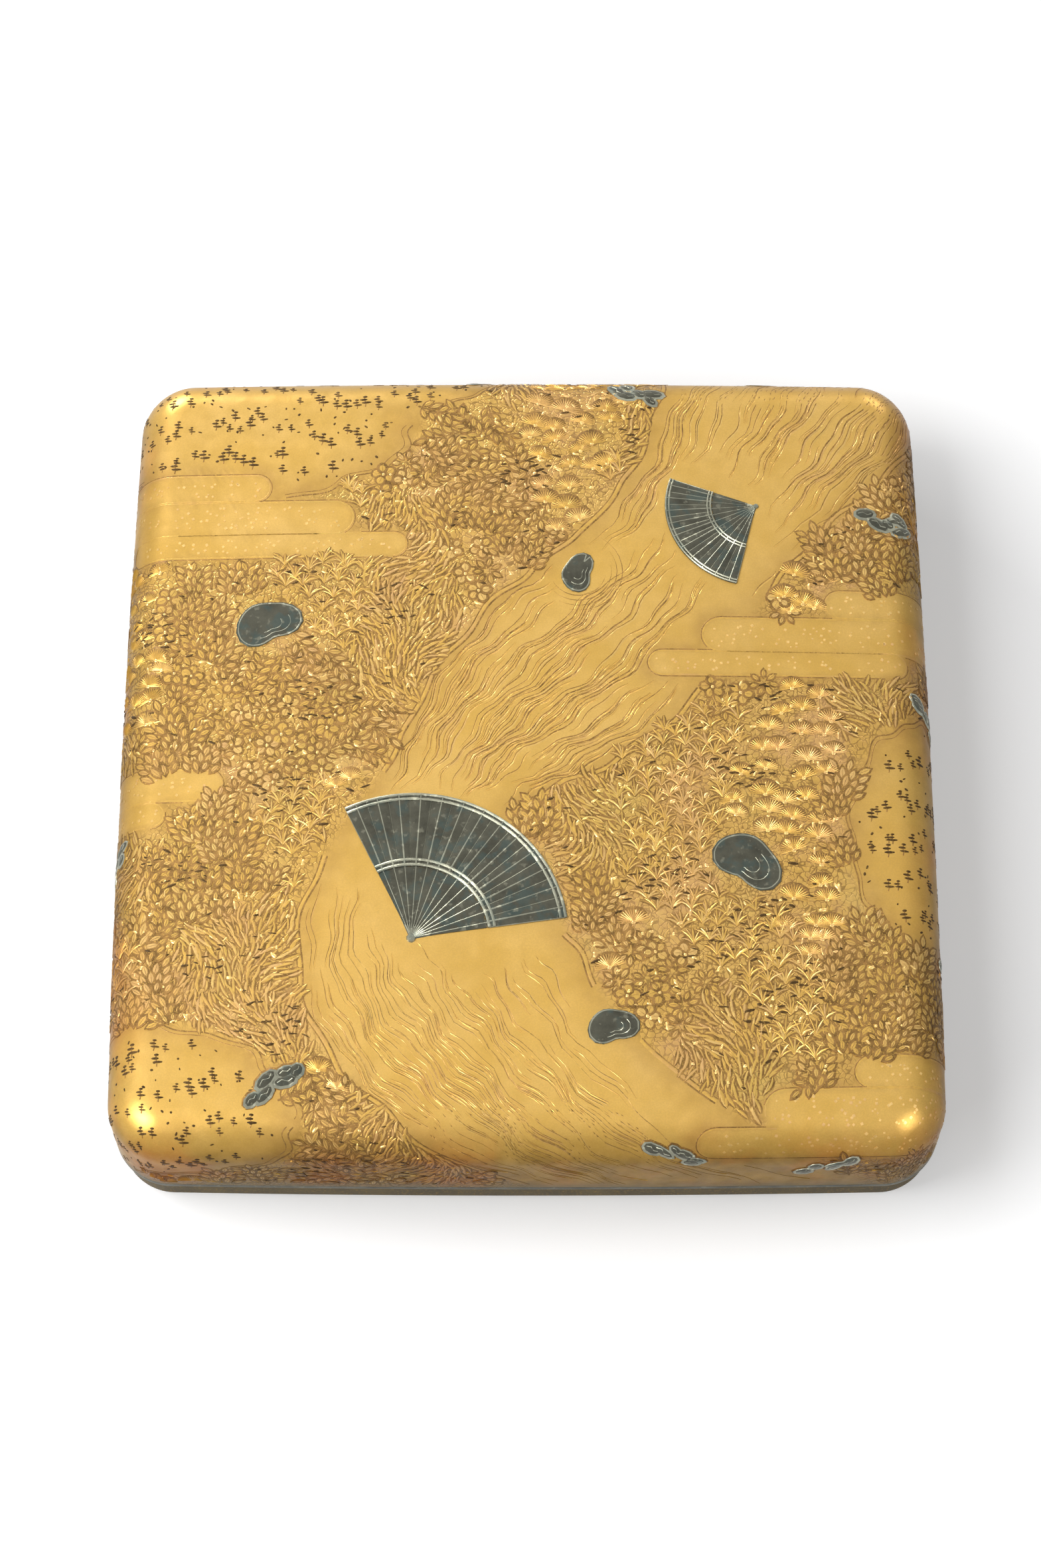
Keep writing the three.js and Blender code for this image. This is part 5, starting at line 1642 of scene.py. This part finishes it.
class WRITING_BOX_OT_inlays(Operator):
    """The silver inlays of the lid: folding fans and water stones"""

    bl_idname = "writing_box.inlays"
    bl_label = "Silver inlays"

    def execute(self, context):
        form = LidForm(context.scene.writing_box.lid)
        dark, pale = Relief(form), Relief(form)
        for node in (*STONES, "fan_leaf_large", "fan_leaf_small"):
            piece = merged_copy(node, node + "_sheet", 0.12, 2)
            finish(piece, "silver", "lid", "silver_inlay", node)
        for row in FANS:
            make_fan(form, dark, pale, *row)
        draw_stone_lines(form, pale)
        dark.lay("inlay_pleats", "silver", "silver_inlay")
        pale.lay("inlay_lines", "silver_edge", "silver_inlay")
        return {"FINISHED"}


class WRITING_BOX_OT_body(Operator):
    """The body of the box: foot, ledge, walls and their rim"""

    bl_idname = "writing_box.body"
    bl_label = "Body"

    def execute(self, context):
        settings = context.scene.writing_box
        form = LidForm(settings.lid)
        body = settings.body
        reveal, top, floor = body.ledge_reveal / MM, body.ledge_top / MM, body.floor / MM
        wall, cavity, height = body.wall_inset / MM, body.cavity_inset / MM, body.wall_top / MM
        rim_foot = height - body.rim / MM
        foot = put_mesh("box_foot", *band(form, reveal, wall, 0, top, [0.6, 0.35, 0.05, 0.05]), sharp=35)
        finish(foot, "foot", "box", "gold_lacquer", *[f"lid_ledge_{side}" for side in SIDES])
        core = form.rows([[wall, 0], [wall, floor]], *ring_pattern(*COARSE_RING))
        panel = put_mesh("box_floor", *closed_skin(core), smooth=False)
        finish(panel, "sprinkled", "box", "sprinkled_lacquer", "floor_board")
        walls = put_mesh("box_walls", *band(form, wall, cavity, floor, rim_foot, 0.05, 2), sharp=35)
        finish(walls, "sprinkled", "box", "sprinkled_lacquer", *[f"body_wall_{side}" for side in SIDES])
        rim = band(form, wall, cavity, rim_foot, height, [0.1, 0.6, 0.6, 0.1], 5)
        finish(put_mesh("box_rim", *rim, sharp=50), "rim", "box", "silver_rim", "body_rim")
        return {"FINISHED"}


class WRITING_BOX_OT_board(Operator):
    """The board between the trays, on its battens"""

    bl_idname = "writing_box.board"
    bl_label = "Board"

    def execute(self, context):
        nodes = ("stone_board", "board_batten_front", "board_batten_middle", "board_batten_back")
        recut(nodes, "_lacquered", 0.4, 30, "sprinkled", "board", "sprinkled_lacquer")
        return {"FINISHED"}


class WRITING_BOX_OT_ink_stone(Operator):
    """The ink stone with its grinding face and its well"""

    bl_idname = "writing_box.ink_stone"
    bl_label = "Ink stone"

    def execute(self, context):
        half, middle, base, top = (38.0, 65.1), -32.5, 5.3, 22.3
        outside = bent((0.9, base), (0, base), (0, base + 0.9)) + bent((0, top - 1.1), (0, top), (1.1, top))
        outside.append([3.6, top])
        inward = 3.6 + (half[0] - 3.6) * np.linspace(0, 1, 40) ** 1.7
        profile = outside + [[d, top] for d in inward[1:]]
        radius = [3 - min(inset, 2.0) for inset, _ in outside]
        radius += [min(8, 1 + 2.2 * (d - 3.6)) for d in inward[1:]]
        rows = bar_rows((0, middle), half, np.array(radius), profile, 2, 9, 70)
        # The face lies 2.5 under the rim, with a worn hollow, and falls by 6.5 (3s^2 - 2s^3) to the well.
        # From the rim the depth comes in as 3e^2 - 2e^3 over a width that grows with it.
        x, y = rows[..., 0], rows[..., 1]
        s = np.clip((y + 21.9) / 26, 0, 1)
        depth = 2.5 + 6.5 * s * s * (3 - 2 * s) + 0.4 * np.exp(-(((y + 52) / 26) ** 2) - (x / 17) ** 2)
        e = np.clip((np.array(profile)[:, :1] - 3.6) / (1.1 + 0.35 * depth), 0, 1)
        rows[..., 2] -= depth * e * e * (3 - 2 * e)
        ink = np.clip((y + 14) / 20, 0, 1) * e
        points, faces = zipped_skin(rows)
        ink = join(ink.ravel(), [0])
        piece = weld(put_mesh("ink_stone_honed", points, faces, sharp=55, values={"ink": ink}))
        finish(piece, "slate", "ink_stone", "ink_stone", "ink_stone")
        return {"FINISHED"}


class WRITING_BOX_OT_water_dropper(Operator):
    """The water dropper: vessel, cover, boss and spout"""

    bl_idname = "writing_box.water_dropper"
    bl_label = "Water dropper"

    def execute(self, context):
        nodes = ("dropper_cover", "dropper_spout")
        recut(nodes, "_cast", 0.3, 40, "copper", "water_dropper", "dropper_metal")
        profile = (
            bent((2.6, 5.3), (1.7, 5.3), (1.6, 6.0)) + bent((1.5, 6.4), (0.1, 7.6), (0.0, 12.0))
            + bent((0.0, 15.0), (0.1, 17.8), (0.55, 18.6)) + bent((0.75, 18.9), (0.75, 19.3), (0.3, 19.4))
            + [[0.1, 19.7], [0.1, 20.3], [0.3, 20.5], [1.6, 20.5], [1.9, 19.8], [2.2, 8.0]]
            + bent((2.4, 7.6), (2.8, 6.6), (4.0, 6.5))
        )
        rows = bar_rows((0, 70.6), (24.0, 18.0), 9.0, profile, 2, 12, 8)
        piece = put_mesh("dropper_vessel_cast", *closed_skin(rows), sharp=50)
        finish(piece, "copper", "water_dropper", "dropper_metal", "dropper_vessel")
        # The boss is a flower: between its rings the edge and the height follow |cos 8a|^0.5.
        petal = lambda angle: np.abs(np.cos(8 * angle)) ** 0.5
        share = np.linspace(0, 1, 9)
        profile = [[8.0, 22.3]] + [[8.0 - 6.4 * t, 22.45 + 1.45 * math.sin(t * math.pi / 2)] for t in share]
        rows = turned_rows((0, 70.6), profile + [[1.4, 23.7], [1.4, 22.3]], 2, 128)
        angle = np.arange(128) / 128 * 2 * math.pi
        envelope = np.array([0, *(np.sin(share * math.pi * 0.9) ** 0.7), 0, 0])[:, None]
        rows[..., 2] -= 0.42 * envelope * (1 - petal(angle))
        scallop = 1 - np.array([1, *(1 - share), 0, 0])[:, None] * 0.07 * (1 - petal(angle))
        rows[..., 0] *= scallop
        rows[..., 1] = 70.6 + (rows[..., 1] - 70.6) * scallop
        piece = put_mesh("dropper_boss_cast", *closed_skin(rows, "loop"), sharp=60)
        finish(piece, "copper", "water_dropper", "dropper_metal", "dropper_boss")
        return {"FINISHED"}


class WRITING_BOX_OT_trays(Operator):
    """The two trays with brush rests and divider"""

    bl_idname = "writing_box.trays"
    bl_label = "Trays"

    def execute(self, context):
        left = ("left_tray_floor", "left_tray_walls", "brush_rest_front", "brush_rest_back")
        right = ("right_tray_floor", "right_tray_walls", "tray_divider")
        for body, nodes in (("left_tray", left), ("right_tray", right)):
            recut(nodes, "_lacquered", 0.4, 40, "sprinkled", body, "sprinkled_lacquer")
        return {"FINISHED"}


class WRITING_BOX_OT_brushes(Operator):
    """The two brushes: lacquered handle, hair tuft and cap"""

    bl_idname = "writing_box.brushes"
    bl_label = "Brushes"

    def execute(self, context):
        stem = (
            bent((2.4, -102.4), (3.4, -102.4), (3.4, -101.4)) + [[3.4, -97.6], [3.5, -97.4]]
            + bent((3.9, -97.3), (4.2, -97.2), (4.2, -96.4)) + [[4.2, y] for y in range(-90, 34, 12)]
            + bent((4.2, 35.6), (4.2, 36.6), (3.6, 36.7)) + [[2.72, 36.8], [2.72, 42.4]]
        )
        t = np.linspace(0, 1, 46)
        belly = 3.45 * (1 + 0.28 * t) * np.sqrt(np.clip(1 - t**2.3, 0, 1)) * (1 - 0.35 * t**2) + 0.06
        tuft = pair(np.minimum(belly, 3.75), 36.7 + 40.0 * t)
        # The hair lies in strands: the radius is multiplied by 1 + 0.03 cos 31a' + 0.02 cos 47a'', each
        # turned a little along the tuft, more towards the tip.
        strands = lambda angle, y: 1 + (0.4 + (y - 36.7) / 40) * (
            0.03 * np.cos(31 * angle + 0.05 * y) + 0.02 * np.cos(47 * angle - 0.09 * y)
        )
        for side, x in (("left", -83.5), ("right", -61.5)):
            centre, body = (14.8, x), f"{side}_brush"
            piece = put_mesh(f"brush_{side}_stem", *closed_skin(turned_rows(centre, stem)), sharp=40)
            finish(piece, "lacquer", body, "handle_wood", f"brush_{side}_handle")
            points, faces = closed_skin(turned_rows(centre, tuft, 1, 160, strands))
            tip = join(np.repeat(t**2.2, 160), [0, 1])
            piece = put_mesh(f"brush_{side}_hair", points, faces, values={"tip": tip})
            finish(piece, "hair", body, "brush_hair", f"brush_{side}_tuft")
            for place, y, wide in (("butt", -95.6, 1.5), ("middle", 12.0, 1.0)):
                end = y + wide + 0.2
                profile = bent((4.2, y), (4.36, y), (4.36, y + 0.2), 3)
                profile += bent((4.36, y + wide), (4.36, end), (4.2, end), 3)
                rows = turned_rows(centre, profile + [[4.0, end], [4.0, y]])
                piece = put_mesh(f"brush_{side}_{place}_band", *closed_skin(rows, "loop"), sharp=60)
                finish(piece, "bright_gold", body, "gold_lacquer")
            cap = merged_copy(f"brush_{side}_cap", f"brush_{side}_sleeve", 0.3, 3)
            finish(cap, "lacquer", f"{side}_cap", "handle_wood", f"brush_{side}_cap")
        return {"FINISHED"}


def make_ink_stick():
    """A cake with eased edges and a field sunk 0.6 into its top, with a gilt blossom of five petals:
    radius R (0.74 + 0.26 |cos 2.5a|)."""
    low, top = 7.8, 16.3
    profile = bent((1.2, low), (0.1, low), (0, low + 1.2)) + bent((0, top - 1.2), (0.1, top), (1.2, top))
    profile += bent((1.7, top), (2.1, top), (2.3, top - 0.45)) + [[2.6, top - 0.6], [7.5, top - 0.6]]
    radius = [1.6] * 14 + [1.2] * (len(profile) - 14)
    rows = bar_rows((63.0, 63.4), (7.5, 39.0), np.array(radius), profile, 2, 6, 12)
    piece = weld(put_mesh("ink_stick_cake", *zipped_skin(rows), sharp=50))
    finish(piece, "ink", "ink_stick", "ink", "ink_stick")
    petals = lambda angle, z: 0.74 + 0.26 * np.abs(np.cos(2.5 * angle))
    share = np.linspace(0, 1, 7)
    profile = [[3.6 * math.cos(t * 1.45), top - 0.62 + 0.5 * math.sin(t * math.pi / 2)] for t in share]
    for number, y in enumerate((46.0, 63.4, 80.8)):
        rows = turned_rows((63.0, y), profile, 2, 60, petals)
        piece = put_mesh(f"ink_stick_blossom_{number + 1}", *closed_skin(rows))
        finish(piece, "leaf_gold", "ink_stick", "gold_lacquer")


def make_knife():
    """The handle is a rounded bar, 0.4 slimmer in the middle. The blade is thickest at its straight
    back and ground to an edge, whose outline bends to the tip by (1-t)^2 A + 2t(1-t) C + t^2 B."""
    y = np.linspace(-89, 26.4, 24)
    waist = 0.4 * np.sin((y + 89) / 115.4 * math.pi) ** 2
    profile = bent((2.8, -92.4), (0.1, -92.4), (0, -89.5)) + pair(waist, y).tolist()
    profile += [[0.3, 27.2], [0.7, 27.4]]
    rows = bar_rows((11.3, 89.9), (3.5, 5.5), 3.3, profile, 1, 9, 4)
    piece = put_mesh("knife_handle_grip", *closed_skin(rows), sharp=50)
    finish(piece, "lacquer", "paper_knife", "handle_wood", "knife_handle")
    curve = np.array(bent((94.4, 69.6), (94.1, 84.0), (85.6, 92.4), 26))
    right = join(np.full(14, 94.4), curve[1:, 0])[:, None]
    y = join(np.linspace(32.4, 69.6, 14), curve[1:, 1])[:, None]
    wide = right - 85.4
    thick = 0.8 * np.clip(wide / 4, 0.12, 1)
    # Each row runs from the upper end of the bevel over the edge to the lower side and round the back.
    across = np.array([0.55, 0.8, 1.0, 1.0, 0.8, 0.55, 0.12, 0.0, 0.0, 0.12])
    up = np.array([1.0, 0.5, 0.07, -0.07, -0.5, -1.0, -1.0, -0.7, 0.7, 1.0])
    rows = on_axis(11.3 + thick * up, 85.4 + wide * across, np.broadcast_to(y, (len(y), 10)), 1)
    piece = put_mesh("knife_blade_ground", *closed_skin(rows), sharp=12)
    finish(piece, "steel", "paper_knife", "blade_steel", "knife_blade")


class WRITING_BOX_OT_ink_tools(Operator):
    """The ink stick, its holder with the ring, and the paper knife"""

    bl_idname = "writing_box.ink_tools"
    bl_label = "Ink stick, holder and knife"

    def execute(self, context):
        jaws = ("holder_jaw_left", "holder_jaw_right")
        recut(jaws, "_strip", 0.5, 30, "lacquer", "ink_holder", "handle_wood")
        recut(["holder_heel"], "_block", 0.3, 30, "lacquer", "ink_holder", "handle_wood")
        recut(["holder_ring"], "_band", 0.2, 30, "rim", "holder_ring", "silver_rim")
        recut(["knife_collar"], "_band", 0.2, 30, "rim", "paper_knife", "silver_rim")
        make_ink_stick()
        make_knife()
        return {"FINISHED"}


class WRITING_BOX_PT_panel(Panel):
    bl_idname = "WRITING_BOX_PT_panel"
    bl_label = "Writing box"
    bl_space_type = "VIEW_3D"
    bl_region_type = "UI"
    bl_category = "Writing box"

    def draw(self, context):
        for operator in OPERATORS:
            self.layout.operator(operator.bl_idname)


SETTINGS = (
    WritingBoxLid, WritingBoxBody, WritingBoxDesign, WritingBoxColours, WritingBoxStage, WritingBoxSettings
)
OPERATORS = (
    WRITING_BOX_OT_stage, WRITING_BOX_OT_lid_shell, WRITING_BOX_OT_design, WRITING_BOX_OT_inlays,
    WRITING_BOX_OT_body, WRITING_BOX_OT_board, WRITING_BOX_OT_ink_stone, WRITING_BOX_OT_water_dropper,
    WRITING_BOX_OT_trays, WRITING_BOX_OT_brushes, WRITING_BOX_OT_ink_tools,
)


def register():
    for item in (*SETTINGS, *OPERATORS, WRITING_BOX_PT_panel):
        bpy.utils.register_class(item)
    bpy.types.Scene.writing_box = PointerProperty(type=WritingBoxSettings)


def unregister():
    del bpy.types.Scene.writing_box
    for item in reversed((*SETTINGS, *OPERATORS, WRITING_BOX_PT_panel)):
        bpy.utils.unregister_class(item)


def main():
    register()
    bpy.ops.writing_box.stage()
    bpy.ops.writing_box.lid_shell()
    bpy.ops.writing_box.design()
    bpy.ops.writing_box.inlays()
    bpy.ops.writing_box.body()
    bpy.ops.writing_box.board()
    bpy.ops.writing_box.ink_stone()
    bpy.ops.writing_box.water_dropper()
    bpy.ops.writing_box.trays()
    bpy.ops.writing_box.brushes()
    bpy.ops.writing_box.ink_tools()


if __name__ == "__main__":
    main()
